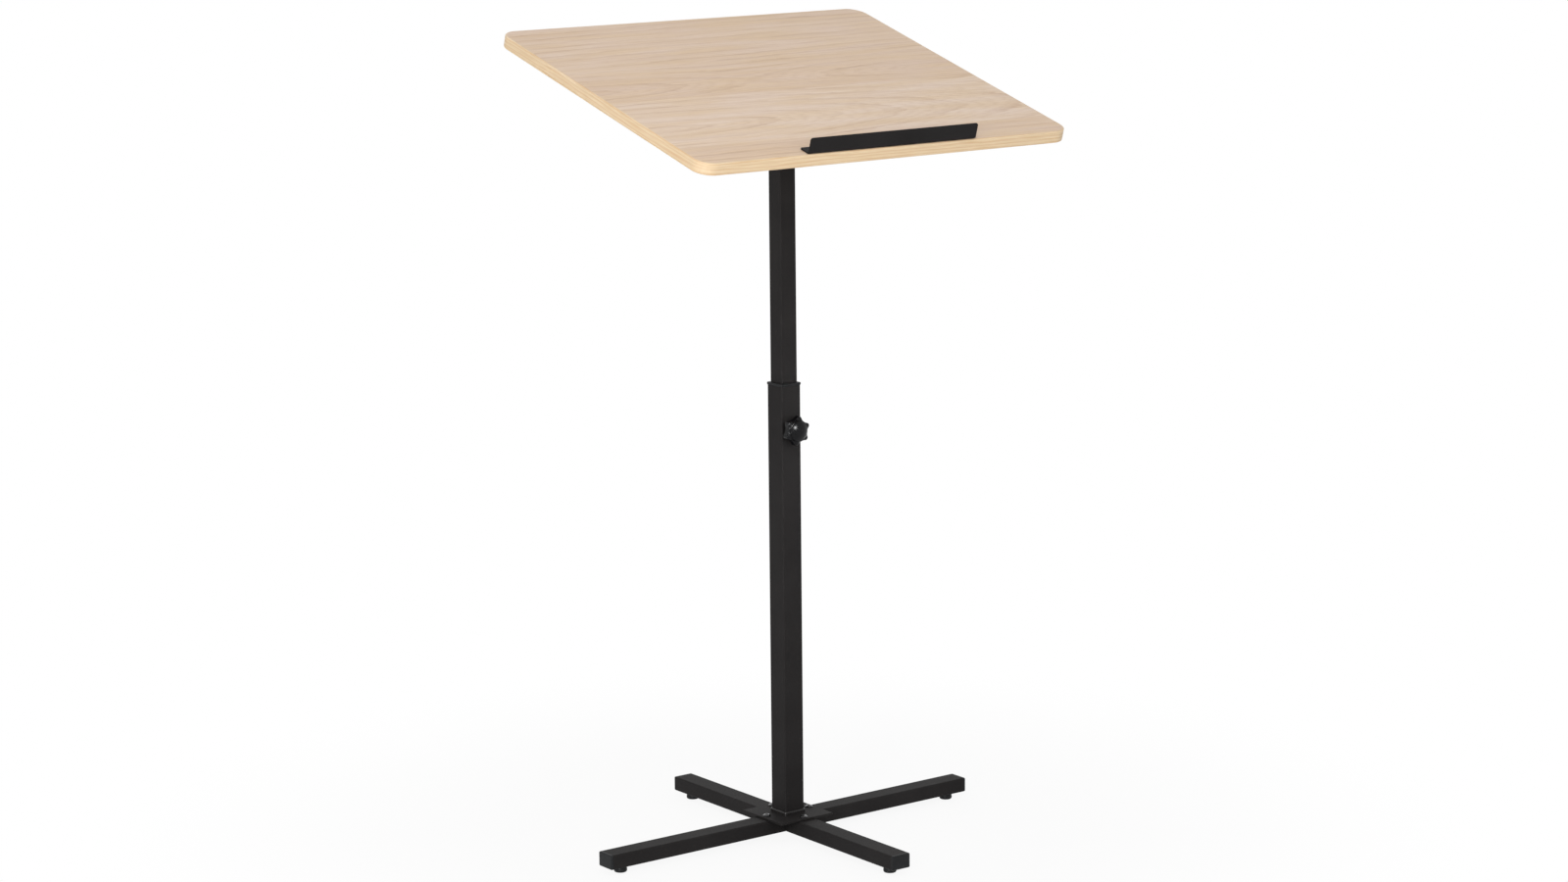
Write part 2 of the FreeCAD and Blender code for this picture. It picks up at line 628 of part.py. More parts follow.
def tilt_lock_bolt():
    """Carriage bolt through both arc slots: round head on the left, square neck in the slot."""
    knob_face = OUTER_WASHER_END + FACE_CLEARANCE
    shank_length = OUTER_WASHER_FACE + knob_face + KNOB_BORE_DEPTH - FACE_CLEARANCE
    head = domed_head(CARRIAGE_HEAD_RADIUS, CARRIAGE_HEAD).rotated(ORIGIN, X_AXIS, 180)
    neck = Part.makeBox(2 * NECK_HALF, 2 * NECK_HALF, BRACKET_SHEET, point(-NECK_HALF, -NECK_HALF, 0))
    bolt = head.fuse([neck, stud(shank_length)])
    return pointed(bolt, X_AXIS, point(-OUTER_WASHER_FACE, 0, LOCK_HEIGHT))


def tilt_washer():
    washer = ring(M8_RADIUS + RUNNING_CLEARANCE, KNOB_WASHER_RADIUS, STEEL_WASHER)
    return pointed(washer, X_AXIS, point(OUTER_WASHER_FACE, 0, LOCK_HEIGHT))


def tilt_knob():
    return pointed(star_knob(), X_AXIS, point(OUTER_WASHER_END + FACE_CLEARANCE, 0, LOCK_HEIGHT))


def slot_point(radius, tilt):
    """Point of the bracket's ear that stands under the pivot when the top has this tilt."""
    turn = math.radians(tilt)
    return point(0, -radius * math.sin(turn), -radius * math.cos(turn))


def arc_slot():
    """Slot about the pivot: its round ends stop the lock bolt's neck at level and at the steepest tilt."""
    outer = SLOT_RADIUS + SLOT_HALF_WIDTH
    inner = SLOT_RADIUS - SLOT_HALF_WIDTH
    level = -SLOT_OVERRUN
    steep = TILT_MAX + SLOT_OVERRUN
    middle = (level + steep) / 2
    rounding = math.degrees(SLOT_HALF_WIDTH / SLOT_RADIUS)
    bends = (
        (slot_point(outer, level), slot_point(outer, middle), slot_point(outer, steep)),
        (slot_point(outer, steep), slot_point(SLOT_RADIUS, steep + rounding), slot_point(inner, steep)),
        (slot_point(inner, steep), slot_point(inner, middle), slot_point(inner, level)),
        (slot_point(inner, level), slot_point(SLOT_RADIUS, level - rounding), slot_point(outer, level)),
    )
    edges = [Part.Arc(start, through, finish).toShape() for start, through, finish in bends]
    return Part.Face(Part.Wire(edges)).extrude(X_AXIS * BRACKET_SHEET)


def ear():
    """Quadrant plate with the pivot hole and the arc slot, standing on X = 0."""
    outer = SLOT_RADIUS + SLOT_HALF_WIDTH + EAR_MARGIN
    margin = SLOT_OVERRUN + math.degrees((SLOT_HALF_WIDTH + EAR_MARGIN) / SLOT_RADIUS)
    rear_end = slot_point(outer, -margin)
    front_end = slot_point(outer, TILT_MAX + margin)
    front_top = point(0, -EAR_FRONT, BRACKET_LOW)
    rear_top = point(0, EAR_REAR, BRACKET_LOW)
    outline = [
        Part.makeLine(front_top, front_end),
        Part.Arc(front_end, slot_point(outer, TILT_MAX / 2), rear_end).toShape(),
        Part.makeLine(rear_end, rear_top),
        Part.makeLine(rear_top, front_top),
    ]
    plate = Part.Face(Part.Wire(outline)).extrude(X_AXIS * BRACKET_SHEET)
    corners = []
    for edge in plate.Edges:
        middle = edge.CenterOfMass
        across = abs(edge.BoundBox.XLength - BRACKET_SHEET) < 1e-6
        if across and middle.z < 0:
            corners.append(edge)
    plate = plate.makeFillet(EAR_CORNER, corners)
    plate = plate.cut(Part.makeCylinder(M8_RADIUS + RUNNING_CLEARANCE, BRACKET_SHEET, ORIGIN, X_AXIS))
    return plate.cut(arc_slot())


def bracket_screw_places():
    reach_x = BRACKET_WIDTH / 2 - BRACKET_HOLE_EDGE
    reach_y = BRACKET_DEPTH / 2 - BRACKET_HOLE_EDGE
    return [(side_x * reach_x, side_y * reach_y) for side_x in (1, -1) for side_y in (1, -1)]


def tilt_bracket():
    """Steel plate under the board with two slotted ears welded to it."""
    bracket = rounded_block(BRACKET_WIDTH, BRACKET_DEPTH, BRACKET_CORNER, BRACKET_LOW, BOARD_LOW)
    for x, y in bracket_screw_places():
        drill = Part.makeCylinder(WOOD_SCREW_RADIUS + HOLE_CLEARANCE, BRACKET_SHEET, point(x, y, BRACKET_LOW))
        bracket = bracket.cut(drill)
    weld_profile = Part.makePolygon([
        point(0, 0, BRACKET_LOW),
        point(EAR_WELD, 0, BRACKET_LOW),
        point(0, 0, BRACKET_LOW - EAR_WELD),
        point(0, 0, BRACKET_LOW),
    ])
    weld = Part.Face(weld_profile).extrude(Y_AXIS * (EAR_FRONT + EAR_REAR - 2 * EAR_WELD))
    weld.translate(point(EAR_OUTSIDE, EAR_WELD - EAR_FRONT, 0))
    side = ear().translated(X_AXIS * EAR_INSIDE).fuse(weld)
    mirrored = side.mirror(ORIGIN, X_AXIS)
    return tilted(bracket.fuse([side, mirrored]).removeSplitter())


def wood_screw():
    """Pan-head screw pointing up, under-head face at Z = 0."""
    head = domed_head(SCREW_HEAD_RADIUS, SCREW_HEAD).rotated(ORIGIN, X_AXIS, 180)
    shank = turned((
        (0, 0),
        (WOOD_SCREW_RADIUS, 0),
        (WOOD_SCREW_RADIUS, SCREW_LENGTH - SCREW_POINT),
        (0, SCREW_LENGTH),
    ))
    slot = Part.makeBox(
        SCREW_RECESS, SCREW_RECESS_WIDTH, SCREW_RECESS_DEPTH,
        point(-SCREW_RECESS / 2, -SCREW_RECESS_WIDTH / 2, -SCREW_HEAD))
    return head.fuse(shank).cut([slot, slot.rotated(ORIGIN, Z_AXIS, 90)])


def pilot_hole():
    """Hole that a wood screw cuts for itself, a hair wider than the screw."""
    radius = WOOD_SCREW_RADIUS + RUNNING_CLEARANCE
    return turned((
        (0, 0),
        (radius, 0),
        (radius, SCREW_LENGTH - SCREW_POINT),
        (0, SCREW_LENGTH + RUNNING_CLEARANCE),
    ))


def bracket_screws():
    screws = []
    for x, y in bracket_screw_places():
        screws.append(tilted(wood_screw().translated(point(x, y, BRACKET_LOW))))
    return Part.makeCompound(screws)


def stop_screw_places():
    """Screws of the edge stop, in the middle of the flat part of its foot."""
    fold = STOP_SHEET + STOP_BEND
    y = STOP_FRONT + (fold + STOP_FOOT) / 2
    first = -STOP_SCREW_PITCH * (STOP_SCREW_COUNT - 1) / 2
    return [(first + STOP_SCREW_PITCH * step, y) for step in range(STOP_SCREW_COUNT)]


def desktop_board():
    """Laminated board, drilled by its screws from both faces."""
    width = TOP_WIDTH - 2 * BAND_THICKNESS
    depth = TOP_DEPTH - 2 * BAND_THICKNESS
    board = rounded_block(width, depth, TOP_CORNER - BAND_THICKNESS, BOARD_LOW, BOARD_HIGH)
    for x, y in bracket_screw_places():
        board = board.cut(pilot_hole().translated(point(x, y, BRACKET_LOW)))
    for x, y in stop_screw_places():
        drill = pilot_hole().rotated(ORIGIN, X_AXIS, 180)
        board = board.cut(drill.translated(point(x, y, BOARD_HIGH + STOP_SHEET)))
    return tilted(board)


def edge_band():
    """Plastic strip glued all round the board, with its two arrises rounded over."""
    outer = rounded_block(TOP_WIDTH, TOP_DEPTH, TOP_CORNER, BOARD_LOW, BOARD_HIGH)
    arrises = []
    for edge in outer.Edges:
        if edge.BoundBox.ZLength < 1e-6:
            arrises.append(edge)
    outer = outer.makeFillet(BAND_ROUND, arrises)
    width = TOP_WIDTH - 2 * BAND_THICKNESS
    depth = TOP_DEPTH - 2 * BAND_THICKNESS
    inside = rounded_block(width, depth, TOP_CORNER - BAND_THICKNESS, BOARD_LOW, BOARD_HIGH)
    return tilted(outer.cut(inside))


def edge_stop():
    """Folded steel angle along the front edge that keeps a laptop from sliding off."""
    outside = STOP_SHEET + STOP_BEND
    low = BOARD_HIGH
    front = STOP_FRONT
    diagonal = math.sqrt(0.5)
    centre_y = front + outside
    centre_z = low + outside
    outer_fold = Part.Arc(
        point(0, front, centre_z),
        point(0, centre_y - outside * diagonal, centre_z - outside * diagonal),
        point(0, centre_y, low))
    inner_fold = Part.Arc(
        point(0, centre_y, low + STOP_SHEET),
        point(0, centre_y - STOP_BEND * diagonal, centre_z - STOP_BEND * diagonal),
        point(0, front + STOP_SHEET, centre_z))
    rear = front + STOP_FOOT
    high = low + STOP_HEIGHT
    section = Part.Wire([
        Part.makeLine(point(0, front, high), point(0, front, centre_z)),
        outer_fold.toShape(),
        Part.makeLine(point(0, centre_y, low), point(0, rear, low)),
        Part.makeLine(point(0, rear, low), point(0, rear, low + STOP_SHEET)),
        Part.makeLine(point(0, rear, low + STOP_SHEET), point(0, centre_y, low + STOP_SHEET)),
        inner_fold.toShape(),
        Part.makeLine(point(0, front + STOP_SHEET, centre_z), point(0, front + STOP_SHEET, high)),
        Part.makeLine(point(0, front + STOP_SHEET, high), point(0, front, high)),
    ])
    angle = Part.Face(section).extrude(X_AXIS * STOP_LENGTH)
    angle.translate(X_AXIS * (-STOP_LENGTH / 2))
    corners = []
    for edge in angle.Edges:
        box = edge.BoundBox
        upright_corner = abs(box.ZMin - high) < 1e-6 and abs(box.YLength - STOP_SHEET) < 1e-6
        foot_corner = abs(box.YMin - rear) < 1e-6 and abs(box.ZLength - STOP_SHEET) < 1e-6
        if upright_corner or foot_corner:
            corners.append(edge)
    angle = angle.makeFillet(STOP_CORNER, corners)
    for x, y in stop_screw_places():
        drill = Part.makeCylinder(WOOD_SCREW_RADIUS + HOLE_CLEARANCE, STOP_SHEET, point(x, y, low))
        angle = angle.cut(drill)
    return tilted(angle)


def stop_screws():
    screws = []
    for x, y in stop_screw_places():
        screw = wood_screw().rotated(ORIGIN, X_AXIS, 180)
        screws.append(tilted(screw.translated(point(x, y, BOARD_HIGH + STOP_SHEET))))
    return Part.makeCompound(screws)


def all_parts():
    parts = {
        "long_leg": leg(LONG_LEG_LENGTH, LEG_MIDDLE, LEG_TOP),
        "short_leg": on_arm(leg(SHORT_LEG_LENGTH, GLIDE_HEIGHT, LEG_MIDDLE), 90),
        "glide_rivet_nuts": glide_rivet_nuts(),
        "bolt_rivet_nuts": bolt_rivet_nuts(),
        "base_plate": base_plate(),
        "base_bolts": base_bolts(),
        "column_weld": column_weld(),
        "outer_column": outer_column(),
        "column_bush": column_bush(),
        "clamp_boss": clamp_boss(),
        "clamp_stud": clamp_stud(),
        "clamp_knob": clamp_knob(),
        "inner_column": inner_column(),
        "mast_guide": mast_guide(),
        "spacer_sleeves": spacer_sleeves(),
        "nylon_washers": nylon_washers(),
        "pivot_bolt": pivot_bolt(),
        "pivot_washers": pivot_washers(),
        "pivot_nut": pivot_nut(),
        "tilt_lock_bolt": tilt_lock_bolt(),
        "tilt_washer": tilt_washer(),
        "tilt_knob": tilt_knob(),
        "tilt_bracket": tilt_bracket(),
        "bracket_screws": bracket_screws(),
        "desktop_board": desktop_board(),
        "edge_band": edge_band(),
        "edge_stop": edge_stop(),
        "stop_screws": stop_screws(),
    }
    for name, turn, length in ARMS:
        parts["end_cap_" + name] = on_arm(end_cap(length), turn)
        parts["glide_pad_" + name] = on_arm(glide_pad(length), turn)
        parts["glide_stud_" + name] = on_arm(glide_stud(length), turn)
    return parts


os.makedirs("parts", exist_ok=True)
for node, shape in all_parts().items():
    shape.exportStep("parts/" + node + ".step")
    print(node, len(shape.Solids), "solid(s)", round(shape.Volume), "mm3", "valid", shape.isValid())
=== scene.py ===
# %% [markdown]
# # A height-adjustable laptop desk
# The desk is a pale laminate top with an edge stop, tilting on a telescopic steel column with a cross
# foot. The construction is loaded first and stays fixed: it says where every piece is and how it moves.
# The lesson then dresses it, one piece at a time, with the rounded edges and finishes that the eye
# expects.

import json
import math

import bmesh
import bpy
from mathutils import Matrix, Vector


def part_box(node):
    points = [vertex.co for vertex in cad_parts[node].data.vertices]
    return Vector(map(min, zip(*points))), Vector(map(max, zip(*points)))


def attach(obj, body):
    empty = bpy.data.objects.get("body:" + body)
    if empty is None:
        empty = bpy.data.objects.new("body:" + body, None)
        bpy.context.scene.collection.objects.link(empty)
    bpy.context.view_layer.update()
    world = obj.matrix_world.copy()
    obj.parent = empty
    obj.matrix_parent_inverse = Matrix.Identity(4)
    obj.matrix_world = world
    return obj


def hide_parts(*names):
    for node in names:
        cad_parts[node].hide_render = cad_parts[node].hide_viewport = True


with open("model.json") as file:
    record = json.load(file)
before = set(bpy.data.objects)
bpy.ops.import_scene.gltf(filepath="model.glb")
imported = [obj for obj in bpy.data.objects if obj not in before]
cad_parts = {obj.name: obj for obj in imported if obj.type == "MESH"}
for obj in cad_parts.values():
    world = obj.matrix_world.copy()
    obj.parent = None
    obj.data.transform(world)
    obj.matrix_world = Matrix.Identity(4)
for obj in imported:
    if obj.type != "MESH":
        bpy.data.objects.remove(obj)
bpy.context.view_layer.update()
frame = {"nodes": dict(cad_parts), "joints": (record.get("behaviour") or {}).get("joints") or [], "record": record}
print("pieces in the construction:", len(frame["nodes"]))

# %% [markdown]
# ## Units and the tilted frame of the top
# Blender works in metres here, and a maker thinks in millimetres, so one constant turns one into the
# other. The top leans towards the user. Its pieces are easier to model flat, in a frame that has its
# origin on the tilt pivot, and to lean over at the end. The tilt joint holds both the pivot and the lean.

# %% Units and frames
MM = 0.001
joints = {joint["name"]: joint for joint in frame["joints"]}
PIVOT = Vector(joints["tilt"]["pos_m"])
LEAN = math.radians(-joints["tilt"]["range_deg"][0])
TOP_FRAME = Matrix.Translation(PIVOT) @ Matrix.Rotation(LEAN, 4, "X")


def box_in_top(node):
    """Lowest and highest corner of a piece of the top, measured flat, with the pivot as the origin."""
    to_flat = TOP_FRAME.inverted()
    flat = [to_flat @ vertex.co for vertex in frame["nodes"][node].data.vertices]
    low = Vector([min(corner[axis] for corner in flat) for axis in range(3)])
    high = Vector([max(corner[axis] for corner in flat) for axis in range(3)])
    return low, high


top_low, top_high = box_in_top("edge_band")
top_size = top_high - top_low
print("the top is", [round(side / MM, 1) for side in top_size], "mm")
print("it leans by", round(math.degrees(LEAN), 1), "degrees about", [round(value, 4) for value in PIVOT])

# %% [markdown]
# ## Node helper and colours
# Every finish below is a small network of shader nodes. It could be drawn by hand in the shader editor,
# but as a script it can be read, and changed in one place. One function adds a node, sets it and links
# it, and another turns the hex colours of a paint chart into the linear values that a renderer adds up.
# Each finish is made once and shared, under the slot of the construction's record that it stands for.

# %% Node helper and colours
FINISHES = {}


def set_inputs(tree, node, inputs):
    """Give sockets of a node plain values, or links from the outputs of other nodes."""
    for socket, value in inputs.items():
        if isinstance(value, bpy.types.NodeSocket):
            tree.links.new(value, node.inputs[socket])
        else:
            node.inputs[socket].default_value = value


def add(tree, kind, inputs=None, stops=(), **settings):
    """Add one shader node with its settings and inputs, and a colour ramp's (position, colour) stops."""
    node = tree.nodes.new("ShaderNode" + kind)
    for name, value in settings.items():
        setattr(node, name, value)
    set_inputs(tree, node, inputs or {})
    if stops:
        elements = node.color_ramp.elements
        while len(elements) < len(stops):
            elements.new(0.5)
        for element, (position, colour) in zip(elements, stops):
            element.position = position
            element.color = colour
    return node


def linear(hex_colour):
    """An sRGB hex colour as the linear RGBA that shaders use."""
    channels = [int(hex_colour[start:start + 2], 16) / 255 for start in (1, 3, 5)]
    return [c / 12.92 if c <= 0.04045 else ((c + 0.055) / 1.055) ** 2.4 for c in channels] + [1.0]


def per_metre(size_mm):
    """Texture scale that gives features of about this size."""
    return 1 / (size_mm * MM)


def new_finish(name):
    """A material with its shader, and the coordinates of the piece that wears it."""
    material = bpy.data.materials.new(name)
    material.use_nodes = True
    tree = material.node_tree
    place = add(tree, "TexCoord").outputs["Object"]
    print("finish:", name)
    return material, tree, tree.nodes["Principled BSDF"], place


print("a middle grey of #808080 is", round(linear("#808080")[0], 3), "in linear light")

# %% [markdown]
# ## Satin black powder coat
# The steel is sprayed with polyester powder and baked. The film flows out but not quite flat, which
# leaves an orange peel of one or two millimetres. To the eye it is an even, soft black whose low sheen
# brightens on faces seen at a slant. A single roughness would look like plastic sheet, so noise varies it
# and lifts a very shallow bump. Peel and specks are drawn a little coarser than life, so that they show.
# Where the powder gathers, as on the weld round the column, it melts into a thicker and glossier film.

# %% Satin black powder coat
PEEL_MM = 2.2
SPECK_MM = 0.7
PAINT_CLOUD_MM = 60.0
PEEL_DEPTH = 0.1 * MM


def powder_coat(name, smooth, rough, mirror):
    """Baked black paint between two roughnesses; mirror is the strength of its reflections."""
    material, tree, shader, place = new_finish(name)
    peel = add(tree, "TexNoise", {"Vector": place, "Scale": per_metre(PEEL_MM), "Detail": 3.0})
    speck = add(tree, "TexNoise", {"Vector": place, "Scale": per_metre(SPECK_MM), "Detail": 2.0})
    cloud = add(tree, "TexNoise", {"Vector": place, "Scale": per_metre(PAINT_CLOUD_MM), "Detail": 2.0})
    both = add(tree, "Math", {0: speck.outputs["Fac"], 1: cloud.outputs["Fac"]}, operation="ADD")
    tone = add(tree, "Math", {0: both.outputs[0], 1: 0.5}, operation="MULTIPLY")
    colour = add(tree, "ValToRGB", {"Fac": tone.outputs[0]}, stops=[
        (0.35, linear("#1a1818")), (0.65, linear("#242222"))])
    gloss = add(tree, "MapRange", {"Value": peel.outputs["Fac"], "To Min": smooth, "To Max": rough})
    height = add(tree, "Math", {0: peel.outputs["Fac"], 1: speck.outputs["Fac"]}, operation="ADD")
    bump = add(tree, "Bump", {"Height": height.outputs[0], "Strength": 0.25, "Distance": PEEL_DEPTH})
    set_inputs(tree, shader, {
        "Base Color": colour.outputs["Color"],
        "Roughness": gloss.outputs["Result"],
        "Normal": bump.outputs["Normal"],
        "Specular IOR Level": mirror,
    })
    return material


FINISHES["powder_coat"] = powder_coat("satin_black_powder_coat", smooth=0.55, rough=0.68, mirror=0.11)
pooled_paint = powder_coat("pooled_black_powder_coat", smooth=0.22, rough=0.34, mirror=0.36)

# %% [markdown]
# ## Glossy phenolic
# The knobs are phenolic resin, pressed hot in a polished mould. The eye sees a nearly black dome with one
# small, bright picture of the lamp in it. A clear coat over black could give that too, but the resin has
# no coat, and one low roughness is enough. Where the resin flowed together its gloss varies, which
# softens the picture.

# %% Glossy phenolic
FLOW_MM = 9.0
FLOW_DEPTH = 0.1 * MM


def phenolic():
    """Pressed black resin with faint flow marks."""
    material, tree, shader, place = new_finish("gloss_black_phenolic")
    flow = add(tree, "TexNoise", {
        "Vector": place, "Scale": per_metre(FLOW_MM), "Detail": 3.0, "Distortion": 0.8}).outputs["Fac"]
    colour = add(tree, "ValToRGB", {"Fac": flow}, stops=[
        (0.35, linear("#09090b")), (0.7, linear("#111114"))])
    gloss = add(tree, "MapRange", {"Value": flow, "To Min": 0.17, "To Max": 0.23})
    bump = add(tree, "Bump", {"Height": flow, "Strength": 0.08, "Distance": FLOW_DEPTH})
    set_inputs(tree, shader, {
        "Base Color": colour.outputs["Color"],
        "Roughness": gloss.outputs["Result"],
        "Normal": bump.outputs["Normal"],
        "Specular IOR Level": 0.16,
    })
    return material


FINISHES["knob_plastic"] = phenolic()

# %% [markdown]
# ## Matt polypropylene
# End caps, glides, guide and bush are polypropylene from a spark-eroded mould. The mould leaves a fine
# grain that spreads every reflection out, so to the eye the caps are a dull, dark grey. Noise could make
# that grain, but sparks leave a field of small craters, and a pattern of cells is closer to it. The real
# grain is about a tenth of a millimetre. It is drawn coarser, so that it shows.

# %% Matt polypropylene
MOULD_GRAIN_MM = 0.9
MOULD_GRAIN_DEPTH = 0.08 * MM
MOULD_CLOUD_MM = 14.0


def polypropylene():
    """Moulded black plastic with a matt grain."""
    material, tree, shader, place = new_finish("matt_black_polypropylene")
    grain = add(tree, "TexVoronoi", {"Vector": place, "Scale": per_metre(MOULD_GRAIN_MM)})
    cloud = add(tree, "TexNoise", {
        "Vector": place, "Scale": per_metre(MOULD_CLOUD_MM), "Detail": 2.0}).outputs["Fac"]
    colour = add(tree, "ValToRGB", {"Fac": cloud}, stops=[
        (0.3, linear("#18191a")), (0.7, linear("#202123"))])
    gloss = add(tree, "MapRange", {"Value": cloud, "To Min": 0.38, "To Max": 0.5})
    bump = add(tree, "Bump", {
        "Height": grain.outputs["Distance"], "Strength": 0.2, "Distance": MOULD_GRAIN_DEPTH})
    set_inputs(tree, shader, {
        "Base Color": colour.outputs["Color"],
        "Roughness": gloss.outputs["Result"],
        "Normal": bump.outputs["Normal"],
        "Specular IOR Level": 0.15,
    })
    return material


FINISHES["black_plastic"] = polypropylene()

# %% [markdown]
# ## Plated and blackened steel
# Hidden hardware is zinc plated: to the eye a bluish metal, a little cloudy from its passivation bath,
# with fine marks from the barrel that it is plated in. The bolts on the base plate and the screws of the
# stop are black oxide, a thin dark skin that still shines like metal where the oil on it catches the
# light. Plain metal would look like chrome, so its roughness follows the marks, and a coat stands for the
# oil. The marks are drawn coarser than life, so that they show.

# %% Plated and blackened steel
BATH_CLOUD_MM = 5.0
BARREL_MARK_MM = 0.5
BARREL_MARK_DEPTH = 0.03 * MM
OIL_ROUGHNESS = 0.08


def plated_steel(name, dark, light, smooth, rough, oil):
    """Metal with a cloudy tint and tumbling marks between two colours; oil is how much of a film it has."""
    material, tree, shader, place = new_finish(name)
    cloud = add(tree, "TexNoise", {"Vector": place, "Scale": per_metre(BATH_CLOUD_MM), "Detail": 3.0})
    long_marks = add(tree, "Mapping", {"Vector": place, "Scale": (1.0, 1.0, 0.15)}).outputs["Vector"]
    marks = add(tree, "TexNoise", {
        "Vector": long_marks, "Scale": per_metre(BARREL_MARK_MM), "Detail": 4.0}).outputs["Fac"]
    colour = add(tree, "ValToRGB", {"Fac": cloud.outputs["Fac"]}, stops=[
        (0.3, linear(dark)), (0.7, linear(light))])
    gloss = add(tree, "MapRange", {"Value": marks, "To Min": smooth, "To Max": rough})
    bump = add(tree, "Bump", {"Height": marks, "Strength": 0.1, "Distance": BARREL_MARK_DEPTH})
    set_inputs(tree, shader, {
        "Base Color": colour.outputs["Color"],
        "Roughness": gloss.outputs["Result"],
        "Normal": bump.outputs["Normal"],
        "Metallic": 1.0,
        "Coat Weight": oil,
        "Coat Roughness": OIL_ROUGHNESS,
    })
    return material


FINISHES["zinc_steel"] = plated_steel(
    "zinc_plated_steel", "#a9adb3", "#c3c6c8", smooth=0.28, rough=0.46, oil=0.0)
FINISHES["black_oxide_steel"] = plated_steel(
    "oiled_black_oxide_steel", "#232325", "#323235", smooth=0.15, rough=0.26, oil=1.0)

# %% [markdown]
# ## Natural nylon
# The friction washers are punched from nylon sheet without any pigment. Light goes a millimetre or so
# into it before it comes out again, which gives the eye a milky, warm white. Plain white plastic would
# look like paint, so a little light is let under the surface.

# %% Natural nylon
MILKY_CLOUD_MM = 4.0
LIGHT_DEPTHS = (1.5 * MM, 1.2 * MM, 1.0 * MM)


def nylon():
    """Milky plastic that lets a little light in."""
    material, tree, shader, place = new_finish("natural_nylon")
    cloud = add(tree, "TexNoise", {
        "Vector": place, "Scale": per_metre(MILKY_CLOUD_MM), "Detail": 3.0}).outputs["Fac"]
    colour = add(tree, "ValToRGB", {"Fac": cloud}, stops=[
        (0.3, linear("#d9d4c6")), (0.7, linear("#e6e2d6"))])
    gloss = add(tree, "MapRange", {"Value": cloud, "To Min": 0.38, "To Max": 0.52})
    set_inputs(tree, shader, {
        "Base Color": colour.outputs["Color"],
        "Roughness": gloss.outputs["Result"],
        "Subsurface Weight": 0.1,
        "Subsurface Radius": LIGHT_DEPTHS,
    })
    return material


FINISHES["nylon"] = nylon()

# %% [markdown]
# ## Growth rings of the planks
# The top is printed as four planks of pale ash. A plank is a slice along a trunk, so its figure is a
# section through cone-shaped growth rings: long ovals round a heart, which look like flames where the
# heart is near, and like straight lines where it is far off. A wave texture draws rings too, but only
# round one middle. So each plank gets its own hearts, and the rings are counted outwards from the nearest
# one. A slow noise bends them first, because no trunk is straight.

# %% Growth rings of the planks
PLANK_EDGES_MM = (-185.0, -28.5, 75.0)
PLANK_HEARTS_MM = (
    ((0, -1300),),
    ((-285, -122), (1000, -80)),
    ((-345, 10), (255, 14)),
    ((900, -320),),
)
RING_LENGTH_MM = 105.0
RING_WIDTH_MM = 15.0
HEART_BLEND = 1.2
BEND_NOISE_MM = (240.0, 55.0, 55.0)
BEND_MM = (70.0, 11.0)


def in_top_frame(tree, place):
    """Object coordinates turned flat, with the tilt pivot as the origin."""
    turned = add(tree, "Mapping", {
        "Vector": place, "Location": PIVOT, "Rotation": (LEAN, 0, 0)}, vector_type="TEXTURE")
    return turned.outputs["Vector"]


def stretched_noise(tree, place, size_mm, detail):
    """Noise whose features have about these sizes along the width, depth and thickness of the top."""
    drawn = add(tree, "Mapping", {"Vector": place, "Scale": [per_metre(size) for size in size_mm]})
    return add(tree, "TexNoise", {"Vector": drawn.outputs["Vector"], "Scale": 1.0, "Detail": detail})


def growth_rings(tree, place, hearts):
    """Number of rings out from the nearest heart."""
    squeeze = (per_metre(RING_LENGTH_MM), per_metre(RING_WIDTH_MM), 0)
    counts = []
    for x, y in hearts:
        away = add(tree, "VectorMath", {0: place, 1: (x * MM, y * MM, 0)}, operation="SUBTRACT")
        rings = add(tree, "VectorMath", {0: away.outputs["Vector"], 1: squeeze}, operation="MULTIPLY")
        count = add(tree, "VectorMath", {0: rings.outputs["Vector"]}, operation="LENGTH")
        counts.append(count.outputs["Value"])
    nearest = counts[0]
    for count in counts[1:]:
        nearest = add(tree, "Math", {
            0: nearest, 1: count, 2: HEART_BLEND}, operation="SMOOTH_MIN").outputs[0]
    return nearest


def planked_rings(tree, flat, across):
    """Growth rings that change from plank to plank."""
    bend = stretched_noise(tree, flat, BEND_NOISE_MM, detail=2.0)
    centred = add(tree, "VectorMath", {0: bend.outputs["Color"], 1: (0.5, 0.5, 0.5)}, operation="SUBTRACT")
    amount = (BEND_MM[0] * MM, BEND_MM[1] * MM, 0)
    bent = add(tree, "VectorMath", {
        0: centred.outputs["Vector"], 1: amount, 2: flat}, operation="MULTIPLY_ADD").outputs["Vector"]
    rings = growth_rings(tree, bent, PLANK_HEARTS_MM[0])
    for edge, hearts in zip(PLANK_EDGES_MM, PLANK_HEARTS_MM[1:]):
        beyond = add(tree, "Math", {0: across, 1: edge * MM}, operation="GREATER_THAN")
        own = growth_rings(tree, bent, hearts)
        rings = add(tree, "Mix", {0: beyond.outputs[0], 2: rings, 3: own}).outputs[0]
    return rings


print("planks:", len(PLANK_HEARTS_MM), "with", sum(map(len, PLANK_HEARTS_MM)), "hearts")

# %% [markdown]
# ## Grain lines
# Each printed ring is pale early wood that darkens towards a line of late wood, and finer year lines run
# between. The fraction of the ring count says how far through its ring a point is, and a ramp turns that
# into ink. The lines are a little ragged, and in places they fade, as they do where a plank is cut along
# a ring.

# %% Grain lines
YEARS_PER_RING = 4.0
RAGGED_MM = (45.0, 3.0, 3.0)
RAGGED_SWAY = 0.5
FADING_MM = (170.0, 26.0, 26.0)
LINE_SHARE = 0.48
YEAR_SHARE = 0.2


def grey(level):
    """A neutral colour, for ramps that carry a number and not a colour."""
    return (level, level, level, 1)


